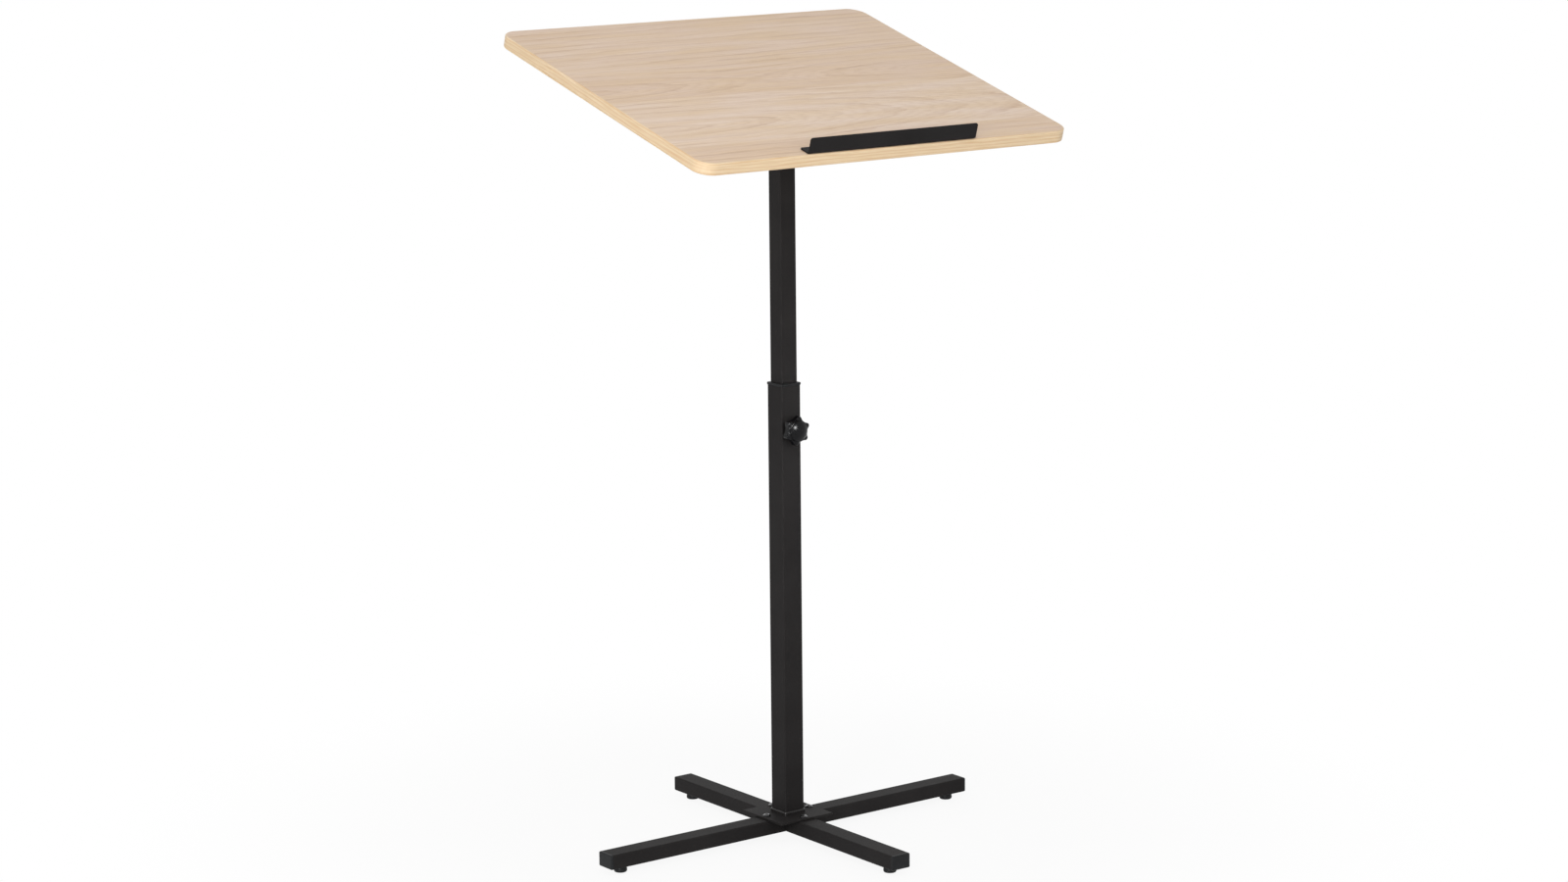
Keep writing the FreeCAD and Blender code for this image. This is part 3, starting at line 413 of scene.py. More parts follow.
def grain_lines(tree, flat, across):
    """Share of the dark ink in the late wood and the year lines."""
    ragged = stretched_noise(tree, flat, RAGGED_MM, detail=3.0)
    rings = planked_rings(tree, flat, across)
    uneven = add(tree, "Math", {
        0: ragged.outputs["Fac"], 1: RAGGED_SWAY, 2: rings}, operation="MULTIPLY_ADD")
    ring = add(tree, "Math", {0: uneven.outputs[0]}, operation="FRACT")
    late_wood = add(tree, "ValToRGB", {"Fac": ring.outputs[0]}, stops=[
        (0.0, grey(0.15)), (0.07, grey(0.0)), (0.68, grey(0.1)), (0.92, grey(1.0)), (1.0, grey(0.15))])
    years = add(tree, "Math", {0: uneven.outputs[0], 1: YEARS_PER_RING}, operation="MULTIPLY")
    year = add(tree, "Math", {0: years.outputs[0]}, operation="FRACT")
    year_line = add(tree, "ValToRGB", {"Fac": year.outputs[0]}, stops=[
        (0.0, grey(0.3)), (0.15, grey(0.0)), (0.55, grey(0.1)), (0.88, grey(1.0)), (1.0, grey(0.3))])
    fading = stretched_noise(tree, flat, FADING_MM, detail=2.0)
    faded = add(tree, "ValToRGB", {"Fac": fading.outputs["Fac"]}, stops=[
        (0.36, grey(0.12)), (0.66, grey(1.0))])
    line = add(tree, "Math", {
        0: late_wood.outputs["Color"], 1: faded.outputs["Color"]}, operation="MULTIPLY")
    year_ink = add(tree, "Math", {0: year_line.outputs["Color"], 1: YEAR_SHARE}, operation="MULTIPLY")
    return add(tree, "Math", {
        0: line.outputs[0], 1: LINE_SHARE, 2: year_ink.outputs[0]}, operation="MULTIPLY_ADD").outputs[0]


print("year lines about", RING_WIDTH_MM / YEARS_PER_RING, "mm apart")

# %% [markdown]
# ## Ground of the planks
# Between the lines each plank has its own pale tone, because four different boards were copied for the
# print. The tone changes at once from plank to plank, so it comes from a ramp with hard steps. Long
# honey-coloured patches lie over it, as in wood from near the heart.

# %% Ground of the planks
PLANK_TONES = (0.36, 0.7, 0.4, 0.52)
BROAD_MM = (420.0, 38.0, 38.0)
BROAD_SWAY = 0.5
HONEY_MM = (150.0, 17.0, 17.0)
HONEY_SHARE = 0.48


def plank_ground(tree, flat, across):
    """Pale wood between the lines: a tone for each plank, and honey-coloured patches."""
    depth_share = add(tree, "MapRange", {
        "Value": across, "From Min": -top_size.y / 2, "From Max": top_size.y / 2})
    starts = [0.0] + [0.5 + edge * MM / top_size.y for edge in PLANK_EDGES_MM]
    plank_tone = add(tree, "ValToRGB", {"Fac": depth_share.outputs["Result"]}, stops=[
        (start, grey(tone)) for start, tone in zip(starts, PLANK_TONES)])
    plank_tone.color_ramp.interpolation = "CONSTANT"
    broad = stretched_noise(tree, flat, BROAD_MM, detail=1.0)
    tone = add(tree, "Math", {
        0: broad.outputs["Fac"], 1: BROAD_SWAY, 2: plank_tone.outputs["Color"]}, operation="MULTIPLY_ADD")
    pale = add(tree, "ValToRGB", {"Fac": tone.outputs[0]}, stops=[
        (0.45, linear("#e1c5af")), (1.0, linear("#f1dccb"))])
    honey = stretched_noise(tree, flat, HONEY_MM, detail=2.0)
    share = add(tree, "MapRange", {
        "Value": honey.outputs["Fac"], "From Min": 0.35, "From Max": 0.65, "To Max": HONEY_SHARE})
    return add(tree, "Mix", {
        "Factor": share.outputs["Result"], 6: pale.outputs["Color"], 7: linear("#e6c798")},
        data_type="RGBA").outputs[2]


edges_mm = [-top_size.y / 2 / MM, *PLANK_EDGES_MM, top_size.y / 2 / MM]
print("planks", [round(far - near) for near, far in zip(edges_mm, edges_mm[1:])], "mm wide")

# %% [markdown]
# ## Ash laminate
# The board is faced with printed melamine paper, pressed to a smooth satin. Streaks, fibres and short
# pores run along the planks, and each layer of the print is mixed over the one before, as a printer's
# rollers lay one ink over another. Together they give the eye a warm, calm surface that is never one
# colour. Fibres and pores are drawn coarser than life, so that they show.

# %% Ash laminate
STREAK_MM = (120.0, 1.7, 1.7)
STREAK_SHARE = 0.36
FIBRE_MM = (40.0, 0.9, 0.9)
FIBRE_SHARE = 0.2
PORE_MM = (8.0, 0.6, 0.6)
PORE_SHARE = 0.14
PORE_DEPTH = 0.05 * MM


def ash_laminate():
    """Printed ash planks under a satin film."""
    material, tree, shader, place = new_finish("ash_melamine_laminate")
    flat = in_top_frame(tree, place)
    across = add(tree, "SeparateXYZ", {"Vector": flat}).outputs["Y"]
    streak = stretched_noise(tree, flat, STREAK_MM, detail=3.0).outputs["Fac"]
    streaks = add(tree, "MapRange", {
        "Value": streak, "From Min": 0.3, "From Max": 0.75, "To Max": STREAK_SHARE})
    fibre = stretched_noise(tree, flat, FIBRE_MM, detail=2.0).outputs["Fac"]
    fibres = add(tree, "MapRange", {"Value": fibre, "To Max": FIBRE_SHARE})
    pore = stretched_noise(tree, flat, PORE_MM, detail=2.0).outputs["Fac"]
    pits = add(tree, "ValToRGB", {"Fac": pore}, stops=[(0.6, grey(0.0)), (0.72, grey(1.0))])
    pores = add(tree, "Math", {0: pits.outputs["Color"], 1: PORE_SHARE}, operation="MULTIPLY")
    inks = (
        (streaks.outputs["Result"], "#c7a37d"),
        (grain_lines(tree, flat, across), "#b98d64"),
        (fibres.outputs["Result"], "#e9dccb"),
        (pores.outputs[0], "#a98a69"),
    )
    colour = plank_ground(tree, flat, across)
    for share, ink in inks:
        colour = add(tree, "Mix", {"Factor": share, 6: colour, 7: linear(ink)}, data_type="RGBA").outputs[2]
    gloss = add(tree, "MapRange", {"Value": fibre, "To Min": 0.42, "To Max": 0.54})
    bump = add(tree, "Bump", {"Height": pore, "Strength": 0.1, "Distance": PORE_DEPTH})
    set_inputs(tree, shader, {
        "Base Color": colour,
        "Roughness": gloss.outputs["Result"],
        "Normal": bump.outputs["Normal"],
        "Specular IOR Level": 0.3,
    })
    return material


FINISHES["laminate_board"] = ash_laminate()

# %% [markdown]
# ## Ash edge strip
# The strip round the board is ABS, printed a shade yellower than the top, so that the edge stands out as
# a warm line. Its grain runs along the edge whichever way it faces. So the lines are layers through the
# thickness of the board, waved by long, slow noise. The fibres between them are drawn coarser than life.

# %% Ash edge strip
LAYER_MM = 4.4
LAYER_SWAY = 2.2
WAVE_MM = (150.0, 150.0, 9.0)
STRIP_LINE_SHARE = 0.46
STRIP_FIBRE_MM = (35.0, 35.0, 0.7)
STRIP_FIBRE_DEPTH = 0.05 * MM


def ash_edge_strip():
    """Printed ash with lines along the edge."""
    material, tree, shader, place = new_finish("ash_abs_edge_strip")
    flat = in_top_frame(tree, place)
    depth = add(tree, "SeparateXYZ", {"Vector": flat}).outputs["Z"]
    wave = stretched_noise(tree, flat, WAVE_MM, detail=2.0)
    fibre = stretched_noise(tree, flat, STRIP_FIBRE_MM, detail=2.0).outputs["Fac"]
    sway = add(tree, "Math", {0: wave.outputs["Fac"], 1: LAYER_SWAY}, operation="MULTIPLY")
    layers = add(tree, "Math", {
        0: depth, 1: per_metre(LAYER_MM), 2: sway.outputs[0]}, operation="MULTIPLY_ADD")
    layer = add(tree, "Math", {0: layers.outputs[0]}, operation="FRACT")
    line = add(tree, "ValToRGB", {"Fac": layer.outputs[0]}, stops=[
        (0.0, grey(0.4)), (0.12, grey(0.0)), (0.6, grey(0.15)), (0.88, grey(1.0)), (1.0, grey(0.4))])
    ground = add(tree, "ValToRGB", {"Fac": fibre}, stops=[
        (0.3, linear("#e0c49b")), (0.7, linear("#efd9b9"))])
    share = add(tree, "Math", {0: line.outputs["Color"], 1: STRIP_LINE_SHARE}, operation="MULTIPLY")
    colour = add(tree, "Mix", {
        "Factor": share.outputs[0], 6: ground.outputs["Color"], 7: linear("#cf9d67")}, data_type="RGBA")
    gloss = add(tree, "MapRange", {"Value": fibre, "To Min": 0.4, "To Max": 0.5})
    bump = add(tree, "Bump", {"Height": fibre, "Strength": 0.08, "Distance": STRIP_FIBRE_DEPTH})
    set_inputs(tree, shader, {
        "Base Color": colour.outputs[2],
        "Roughness": gloss.outputs["Result"],
        "Normal": bump.outputs["Normal"],
        "Specular IOR Level": 0.3,
    })
    return material


FINISHES["edge_band"] = ash_edge_strip()

# %% [markdown]
# ## From a mesh in progress to a finished piece
# A bmesh is a mesh on the bench. This helper welds its seams, turns its faces outwards, shades the round
# faces smooth and the flat ones flat, and hands it over: the piece takes the finish and the motion of the
# node that it stands for.

# %% Finished pieces
CREASE = math.radians(38)
WELD_REACH = 0.001 * MM
SLOT_OF = {part["node"]: part["material_slot"] for part in frame["record"]["subparts"]}
BODY_OF = {node: body for body, nodes in frame["record"]["behaviour"]["bodies"].items() for node in nodes}


def hand_over(bm, node, finish=None):
    """Make the bmesh the visible form of a node of the construction."""
    bmesh.ops.remove_doubles(bm, verts=bm.verts, dist=WELD_REACH)
    bmesh.ops.recalc_face_normals(bm, faces=bm.faces)
    open_edges = sum(not edge.is_manifold for edge in bm.edges)
    mesh = bpy.data.meshes.new(node)
    bm.to_mesh(mesh)
    bm.free()
    mesh.shade_smooth()
    mesh.set_sharp_from_angle(angle=CREASE)
    slot = SLOT_OF[node]
    mesh.materials.append(finish or FINISHES[slot])
    piece = bpy.data.objects.new("look_" + node, mesh)
    bpy.context.scene.collection.objects.link(piece)
    weighted = piece.modifiers.new("flat_faces_stay_flat", "WEIGHTED_NORMAL")
    weighted.keep_sharp = True
    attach(piece, BODY_OF[node])
    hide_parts(node)
    print(piece.name, len(mesh.polygons), "faces,", open_edges, "open edges")


print("slots:", len(set(SLOT_OF.values())), "bodies:", len(set(BODY_OF.values())))

# %% [markdown]
# ## Sheets, bars and tubes
# Most of the desk is bar and tube with round corners. A cube with a bevel modifier could stand for it,
# but would also round the ends. So such a shape starts as one rectangle whose four corners are bevelled
# to the real radius, and is then pulled up into a bar. For a tube, two such outlines, one inside the
# other, are bridged into a flat frame, which is pulled up in the same way.

# %% Sheets, bars and tubes
ROUND_STEPS = 12


def rounded_face(bm, width, depth, radius, height):
    """A horizontal rectangle with round corners, centred on the axis."""
    corners = bmesh.ops.create_grid(bm, x_segments=1, y_segments=1, size=0.5)["verts"]
    bmesh.ops.scale(bm, vec=(width, depth, 1), verts=corners)
    bmesh.ops.translate(bm, vec=(0, 0, height), verts=corners)
    made = bmesh.ops.bevel(
        bm, geom=corners, offset=radius, offset_type="OFFSET", segments=ROUND_STEPS, profile=0.5,
        affect="VERTICES", material=-1)
    return made["verts"][0].link_faces[0]


def pull(bm, faces, move):
    """Extrude faces along a vector."""
    made = bmesh.ops.extrude_face_region(bm, geom=faces)["geom"]
    verts = [item for item in made if isinstance(item, bmesh.types.BMVert)]
    bmesh.ops.translate(bm, vec=move, verts=verts)


def bar(bm, width, depth, radius, low, high):
    """Upright bar with round corners between two heights."""
    pull(bm, [rounded_face(bm, width, depth, radius, low)], (0, 0, high - low))


def tube(bm, width, depth, radius, wall, inner_radius, low, high):
    """Upright tube with round corners between two heights."""
    outside = rounded_face(bm, width, depth, radius, low)
    inside = rounded_face(bm, width - 2 * wall, depth - 2 * wall, inner_radius, low)
    loops = list(outside.edges) + list(inside.edges)
    bmesh.ops.delete(bm, geom=[outside, inside], context="FACES_ONLY")
    wall_faces = bmesh.ops.bridge_loops(bm, edges=loops)["faces"]
    pull(bm, wall_faces, (0, 0, high - low))


print("steps in a round corner:", ROUND_STEPS)

# %% [markdown]
# ## Eased edges
# No real edge is sharp, and a narrow rounding is what catches the light. A bevel modifier could round all
# edges of a piece at once. Here they are picked, by how much they fold and some by where they are, so
# that edges inside a joint stay as they are.

# %% Eased edges
FOLD_LIMIT = 50


def middle_of(edge):
    """The point halfway along an edge."""
    return (edge.verts[0].co + edge.verts[1].co) / 2


def sharp_edges(bm, keep=lambda edge: True, angle=FOLD_LIMIT):
    """Edges that fold by more than an angle in degrees and that keep accepts."""
    limit = math.radians(angle)
    return [edge for edge in bm.edges if edge.is_manifold and edge.calc_face_angle() > limit and keep(edge)]


def ease(bm, edges, radius, segments=3):
    """Round edges over by a radius."""
    bmesh.ops.bevel(
        bm, geom=edges, offset=radius, offset_type="OFFSET", segments=segments, profile=0.5,
        affect="EDGES", material=-1)


print("an edge counts as sharp from", FOLD_LIMIT, "degrees")

# %% [markdown]
# ## Turned parts and threads
# Washers, studs and glides are turned, so a half section is spun round the axis. A screw thread is a
# small triangle that climbs as it spins. All are modelled upright, and then stood where they belong.

# %% Turned parts and threads
TURN_STEPS = 48
THREAD_STEPS = 20
THREAD_DEPTH = 0.55
THREAD_WIDTH = 0.96


def spun(bm, section, closed=False):
    """Spin a half section of (radius, height) points round the Z axis."""
    verts = [bm.verts.new((radius, 0, height)) for radius, height in section]
    pairs = list(zip(verts, verts[1:]))
    if closed:
        pairs.append((verts[-1], verts[0]))
    edges = [bm.edges.new(pair) for pair in pairs]
    bmesh.ops.spin(
        bm, geom=verts + edges, cent=(0, 0, 0), axis=(0, 0, 1), dvec=(0, 0, 0), angle=math.tau,
        steps=TURN_STEPS, use_merge=True, use_duplicate=False)
    bmesh.ops.remove_doubles(bm, verts=bm.verts, dist=WELD_REACH)


def washer(bm, inner, outer, length, edge):
    """Flat ring with eased edges."""
    spun(bm, ((inner, 0), (outer, 0), (outer, length), (inner, length)), closed=True)
    ease(bm, sharp_edges(bm), edge, segments=2)


def thread(bm, radius, pitch, low, high):
    """Helical ridge of a screw thread, sunk a little into the rod that carries it."""
    root = radius - THREAD_DEPTH * pitch
    corners = ((root, 0), (radius, THREAD_WIDTH * pitch / 2), (root, THREAD_WIDTH * pitch))
    start = bm.faces.new([bm.verts.new((reach, 0, low + rise)) for reach, rise in corners])
    turns = int((high - low) / pitch) - 1
    bmesh.ops.spin(
        bm, geom=[start] + start.edges[:] + start.verts[:], cent=(0, 0, 0), axis=(0, 0, 1),
        dvec=(0, 0, pitch / THREAD_STEPS), angle=math.tau * turns, steps=THREAD_STEPS * turns,
        use_merge=False, use_duplicate=False)


def lean(bm):
    """Carry a piece that was modelled flat to its place on the tilted top."""
    bmesh.ops.transform(bm, matrix=TOP_FRAME, verts=bm.verts)


def stand(bm, direction, place):
    """Turn a piece that was modelled along +Z to a direction, and put its origin at a place."""
    turn = Vector((0, 0, 1)).rotation_difference(Vector(direction)).to_matrix().to_4x4()
    bmesh.ops.transform(bm, matrix=Matrix.Translation(place) @ turn, verts=bm.verts)


print("sides of a turned part:", TURN_STEPS)

# %% [markdown]
# ## Stacks of rings
# Bolt heads, nuts and knobs aren't round all over. Their skins are stacks of rings, and each ring follows
# a plan that says how far out it runs at each angle. One ring of edges is extruded again and again, so
# that a hexagon can run into a circle without any join.

# %% Stacks of rings
def ring_stack(bm, stations, steps):
    """Closed skin through rings: each station is (plan, height), and both ends are closed flat."""
    ring = bmesh.ops.create_circle(bm, cap_ends=False, radius=1.0, segments=steps)["verts"]
    edges = list(dict.fromkeys(edge for vert in ring for edge in vert.link_edges))
    first_rim = edges
    skin = []
    for number, (plan, height) in enumerate(stations):
        if number:
            made = bmesh.ops.extrude_edge_only(bm, edges=edges)["geom"]
            ring = [item for item in made if isinstance(item, bmesh.types.BMVert)]
            edges = [item for item in made if isinstance(item, bmesh.types.BMEdge)]
            edges = [edge for edge in edges if all(vert in ring for vert in edge.verts)]
        for vert in ring:
            angle = math.atan2(vert.co.y, vert.co.x)
            reach = plan(angle)
            vert.co = (reach * math.cos(angle), reach * math.sin(angle), height)
        skin += ring
    for rim in (first_rim, edges):
        bmesh.ops.contextual_create(bm, geom=rim)
    return skin


def round_plan(radius):
    """The same distance at every angle."""
    return lambda angle: radius


def hexagon_plan(across):
    """Distance to the side of a hexagon, given its width across the flats."""
    sixth = math.tau / 6
    return lambda angle: across / 2 / math.cos((angle + sixth / 2) % sixth - sixth / 2)


def dome_stations(rim_radius, top_radius, rim_height, top_height, count):
    """Round stations down a spherical crown, from an inner radius out to its rim."""
    rise = top_height - rim_height
    sphere = (rim_radius ** 2 + rise ** 2) / (2 * rise)
    radii = [top_radius + (rim_radius - top_radius) * step / count for step in range(count + 1)]
    return [(round_plan(r), top_height - sphere + math.sqrt(sphere ** 2 - r ** 2)) for r in radii]


corner_reach = hexagon_plan(1.0)(math.radians(30))
print("a hexagon is", round(2 * corner_reach, 3), "times as wide across its corners as across its flats")

# %% [markdown]
# ## Board and edge strip
# The board is one rounded slab. The strip round it is two millimetres thick with both arrises rounded
# over, which gives the fine light line along the top of the edge. One slab with two finishes would do for
# the eye, but the strip is a piece of its own, glued on. Both are modelled flat and leaned over.

# %% Board and edge strip
BAND = 2.0 * MM
TOP_CORNER = 24.0 * MM
ARRIS = 1.7 * MM

board = bmesh.new()
bar(board, top_size.x - 2 * BAND, top_size.y - 2 * BAND, TOP_CORNER - BAND, top_low.z, top_high.z)
lean(board)
hand_over(board, "desktop_board")


def on_outside(edge):
    """Whether an edge of the strip is on its outer face."""
    middle = middle_of(edge)
    straight = abs(middle.x) > top_size.x / 2 - BAND / 2 or abs(middle.y) > top_size.y / 2 - BAND / 2
    corner_x = max(abs(middle.x) - (top_size.x / 2 - TOP_CORNER), 0)
    corner_y = max(abs(middle.y) - (top_size.y / 2 - TOP_CORNER), 0)
    return straight or math.hypot(corner_x, corner_y) > TOP_CORNER - BAND / 2


strip = bmesh.new()
tube(strip, top_size.x, top_size.y, TOP_CORNER, BAND, TOP_CORNER - BAND, top_low.z, top_high.z)
ease(strip, sharp_edges(strip, on_outside), ARRIS, segments=4)
lean(strip)
hand_over(strip, "edge_band")

# %% [markdown]
# ## Edge stop
# A strip of two-millimetre steel is folded to an angle, with its corners rounded so that they don't catch
# a sleeve. Two boxes could make an angle, but without the radius that a press leaves inside and outside
# the fold. So it starts as two flat faces that share the fold: the fold and the free corners are bevelled
# while it is still a sheet, and then the sheet gets its thickness.

# %% Edge stop
SHEET = 2.0 * MM
SHEET_EDGE = 0.4 * MM
FOLD = 3.5 * MM
STOP_CORNER = 3.5 * MM
stop_low, stop_high = box_in_top("edge_stop")

stop = bmesh.new()
section = ((stop_low.y, stop_high.z), (stop_low.y, stop_low.z), (stop_high.y, stop_low.z))
left_end = [stop.verts.new((stop_low.x, y, z)) for y, z in section]
right_end = [stop.verts.new((stop_high.x, y, z)) for y, z in section]
for near in (0, 1):
    stop.faces.new((left_end[near], left_end[near + 1], right_end[near + 1], right_end[near]))
free_corners = [left_end[0], left_end[2], right_end[0], right_end[2]]
fold_edge = [edge for edge in stop.edges if set(edge.verts) == {left_end[1], right_end[1]}]
ease(stop, fold_edge, FOLD, segments=6)
bmesh.ops.bevel(
    stop, geom=[vert for vert in free_corners if vert.is_valid], offset=STOP_CORNER, offset_type="OFFSET",
    segments=ROUND_STEPS, profile=0.5, affect="VERTICES", material=-1)
bmesh.ops.recalc_face_normals(stop, faces=stop.faces)
upright = max(stop.faces, key=lambda face: face.calc_area())
facing_user = -1 if upright.normal.y < 0 else 1
bmesh.ops.solidify(stop, geom=stop.faces[:], thickness=-facing_user * SHEET)
ease(stop, sharp_edges(stop), SHEET_EDGE, segments=2)
lean(stop)
hand_over(stop, "edge_stop")

# %% [markdown]
# ## Pan-head wood screws
# Four screws hold the bracket under the board and three hold the edge stop. Each has a low domed head
# with a cross recess, made as a stack of rings that starts at the bottom of the recess and ends at the
# point. So the recess needs no cutting, which would leave an untidy mesh.

# %% Pan-head wood screws
SCREW_HEAD = 4.0 * MM
SCREW_SHANK = 2.0 * MM
SCREW_LENGTH = 14.0 * MM
SCREW_POINT = 4.0 * MM
POINT_RADIUS = 0.1 * MM
RECESS_REACH = 2.3 * MM
RECESS_HALF_WIDTH = 0.55 * MM
RECESS_TAPER = 0.55
RECESS_DEPTH = 1.5 * MM
RECESS_RIM = 0.08 * MM
CROWN_START = 1.12 * RECESS_REACH
SCREW_SIDES = 72


def cross_plan(length, width):
    """Distance to the side of a cross-shaped screwdriver recess; small keeps it from dividing by nothing."""
    small = 1e-6

    def reach(angle):
        along, aside = abs(math.cos(angle)), abs(math.sin(angle))
        level = min(length / max(along, small), width / max(aside, small))
        upright = min(width / max(along, small), length / max(aside, small))
        return max(level, upright)
    return reach


def wood_screw(bm, head_height):
    """One screw with its head up and its under-head face at Z = 0."""
    crown = dome_stations(SCREW_HEAD, CROWN_START, head_height / 4, head_height, count=5)
    return ring_stack(bm, [
        (cross_plan(RECESS_REACH * RECESS_TAPER, RECESS_HALF_WIDTH), head_height - RECESS_DEPTH),
        (cross_plan(RECESS_REACH, RECESS_HALF_WIDTH), crown[0][1] - RECESS_RIM),
    ] + crown + [
        (round_plan(SCREW_HEAD), 0.0),
        (round_plan(SCREW_SHANK), 0.0),
        (round_plan(SCREW_SHANK), SCREW_POINT - SCREW_LENGTH),
        (round_plan(POINT_RADIUS), -SCREW_LENGTH),
    ], SCREW_SIDES)


print("a wood screw is", SCREW_LENGTH / MM, "mm long under a head of", 2 * SCREW_HEAD / MM, "mm")

# %% [markdown]
# ## Rows of screws
# The screws of the stop are one piece of the construction and those of the bracket are another, so each
# row is one mesh. Every screw in it stops at its own angle, as screws that are driven by hand do.

# %% Rows of screws
FIRST_ANGLE = 23
NEXT_ANGLE = 41


def row_of_screws(node, places, head_height, flip):
    """Several screws as one piece: places are flat on the top, and flip turns the heads down."""
    row = bmesh.new()
    for number, place in enumerate(places):
        screw = wood_screw(row, head_height)
        turn = Matrix.Rotation(math.radians(FIRST_ANGLE + NEXT_ANGLE * number), 4, "Z")
        if flip:
            turn = Matrix.Rotation(math.pi, 4, "X") @ turn
        bmesh.ops.transform(row, matrix=Matrix.Translation(place) @ turn, verts=screw)
    lean(row)
    hand_over(row, node)


screws_low, screws_high = box_in_top("stop_screws")
stop_reach = screws_high.x - SCREW_HEAD
stop_middle = (screws_low.y + screws_high.y) / 2
stop_seat = stop_low.z + SHEET
stop_places = [(step * stop_reach, stop_middle, stop_seat) for step in (-1, 0, 1)]
row_of_screws("stop_screws", stop_places, screws_high.z - stop_seat, flip=False)

under_low, under_high = box_in_top("bracket_screws")
under_seat = under_high.z - SCREW_LENGTH
reach_x = under_high.x - SCREW_HEAD
reach_y = under_high.y - SCREW_HEAD
under_places = [(i * reach_x, j * reach_y, under_seat) for i in (-1, 1) for j in (-1, 1)]
row_of_screws("bracket_screws", under_places, under_seat - under_low.z, flip=True)

# %% [markdown]
# ## Bracket, legs and plate
# Some pieces of the construction already have their exact form, slots and all, and only their edges are
# too keen. Drawing the slots again could only move them. So a copy of the piece is welded, its flat faces
# are joined up again, and its sharp edges are eased by a few tenths of a millimetre, which is what
# deburring and paint do to real sheet steel.

# %% Bracket, legs and plate
EASED_EDGES = {
    "tilt_bracket": 0.4 * MM,
    "long_leg": 0.25 * MM,
    "short_leg": 0.25 * MM,
    "base_plate": 0.5 * MM,
}
COPY_WELD_REACH = 0.002 * MM
FLAT_WITHIN = math.radians(0.5)
KEEN_FOLD = 45

for node, radius in EASED_EDGES.items():
    copy = bmesh.new()
    copy.from_mesh(frame["nodes"][node].data)
    bmesh.ops.remove_doubles(copy, verts=copy.verts, dist=COPY_WELD_REACH)
    bmesh.ops.dissolve_limit(
        copy, angle_limit=FLAT_WITHIN, use_dissolve_boundaries=False, verts=copy.verts, edges=copy.edges,
        delimit=set())
    ease(copy, sharp_edges(copy, angle=KEEN_FOLD), radius, segments=2)
    hand_over(copy, node)

# %% [markdown]
# ## Column and mast
# The column is two square tubes, one inside the other, with the small corner radius of rolled steel tube.
# A thin box with a solidify modifier could be such a tube. Two outlines are used, because the inner
# corners have a radius of their own. The outer end edges are eased, as a cut tube is before it is
# painted.

# %% Column and mast
TUBE_WALL = 1.5 * MM
TUBE_EDGE = 0.6 * MM
COLUMN_CORNER = 2.0 * MM
MAST_CORNER = 1.8 * MM
column_low, column_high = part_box("outer_column")
mast_low, mast_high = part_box("inner_column")
column_size = column_high.x - column_low.x
mast_size = mast_high.x - mast_low.x


def square_tube(node, size, corner, low, high):
    """Tube of the column between two heights."""
    made = bmesh.new()
    tube(made, size, size, corner, TUBE_WALL, corner - TUBE_WALL, low, high)
    outer_rims = sharp_edges(made, lambda edge: max(map(abs, edge.verts[0].co.xy)) > (size - TUBE_WALL) / 2)
    ease(made, outer_rims, TUBE_EDGE)
    hand_over(made, node)


square_tube("outer_column", column_size, COLUMN_CORNER, column_low.z, column_high.z)
square_tube("inner_column", mast_size, MAST_CORNER, mast_low.z, mast_high.z)

# %% [markdown]
# ## Bush
# A moulded bush lines the mouth of the column, so that the mast slides without rattling. Its flange
# overhangs the tube by a millimetre. The rounded upper edge catches the light, and the rounded lower edge
# leaves a fine dark groove above the tube. Flange and lining have different outlines, so they are two
# tubes, one on top of the other.

# %% Bush
SLIDE_GAP = 0.2 * MM
LINING_EASE = 0.05 * MM
LOWER_ROUND = 0.9 * MM
UPPER_ROUND = 1.0 * MM
NEAR = 0.01 * MM
bush_low, bush_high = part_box("column_bush")
flange_size = bush_high.x - bush_low.x
overhang = (flange_size - column_size) / 2
opening = mast_size + 2 * SLIDE_GAP
lining = column_size - 2 * TUBE_WALL


def rim_at(height):
    """Accepts the outer edges of the flange at a height."""
    def keep(edge):
        middle = middle_of(edge)
        return abs(middle.z - height) < NEAR and max(map(abs, middle.xy)) > opening / 2 + overhang
    return keep


bush = bmesh.new()
tube(bush, flange_size, flange_size, COLUMN_CORNER + overhang, wall=(flange_size - opening) / 2,
     inner_radius=MAST_CORNER + SLIDE_GAP, low=column_high.z, high=bush_high.z)
for height, radius in ((column_high.z, LOWER_ROUND), (bush_high.z, UPPER_ROUND)):
    ease(bush, sharp_edges(bush, rim_at(height)), radius, segments=4)
tube(bush, lining, lining, COLUMN_CORNER - TUBE_WALL, wall=(lining - opening) / 2 - LINING_EASE,
     inner_radius=MAST_CORNER, low=bush_low.z, high=column_high.z)
hand_over(bush, "column_bush")

# %% [markdown]
# ## Weld round the column's foot
# The column is welded to the plate all round, and painted over. The bead is a rounded frame with a soft
# shoulder, and its thick paint catches the light as a pale line. A weld pool freezes in ripples, one
# after another. Noise would make them irregular, so the long sides are cut into short steps, which are
# pushed in and out by a sine.

# %% Weld round the column's foot
RIPPLE_PITCH = 2.6 * MM
RIPPLE_DEPTH = 0.14 * MM
RIPPLED_SHARE = 0.9
SHOULDER_ROUND = 1.6 * MM
SIDE_CUTS = 47
LONG_SIDE = 10 * MM
CLEAR_OF_FACE = 0.1 * MM
weld_low, weld_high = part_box("column_weld")
weld_size = weld_high.x - weld_low.x
weld_width = (weld_size - column_size) / 2

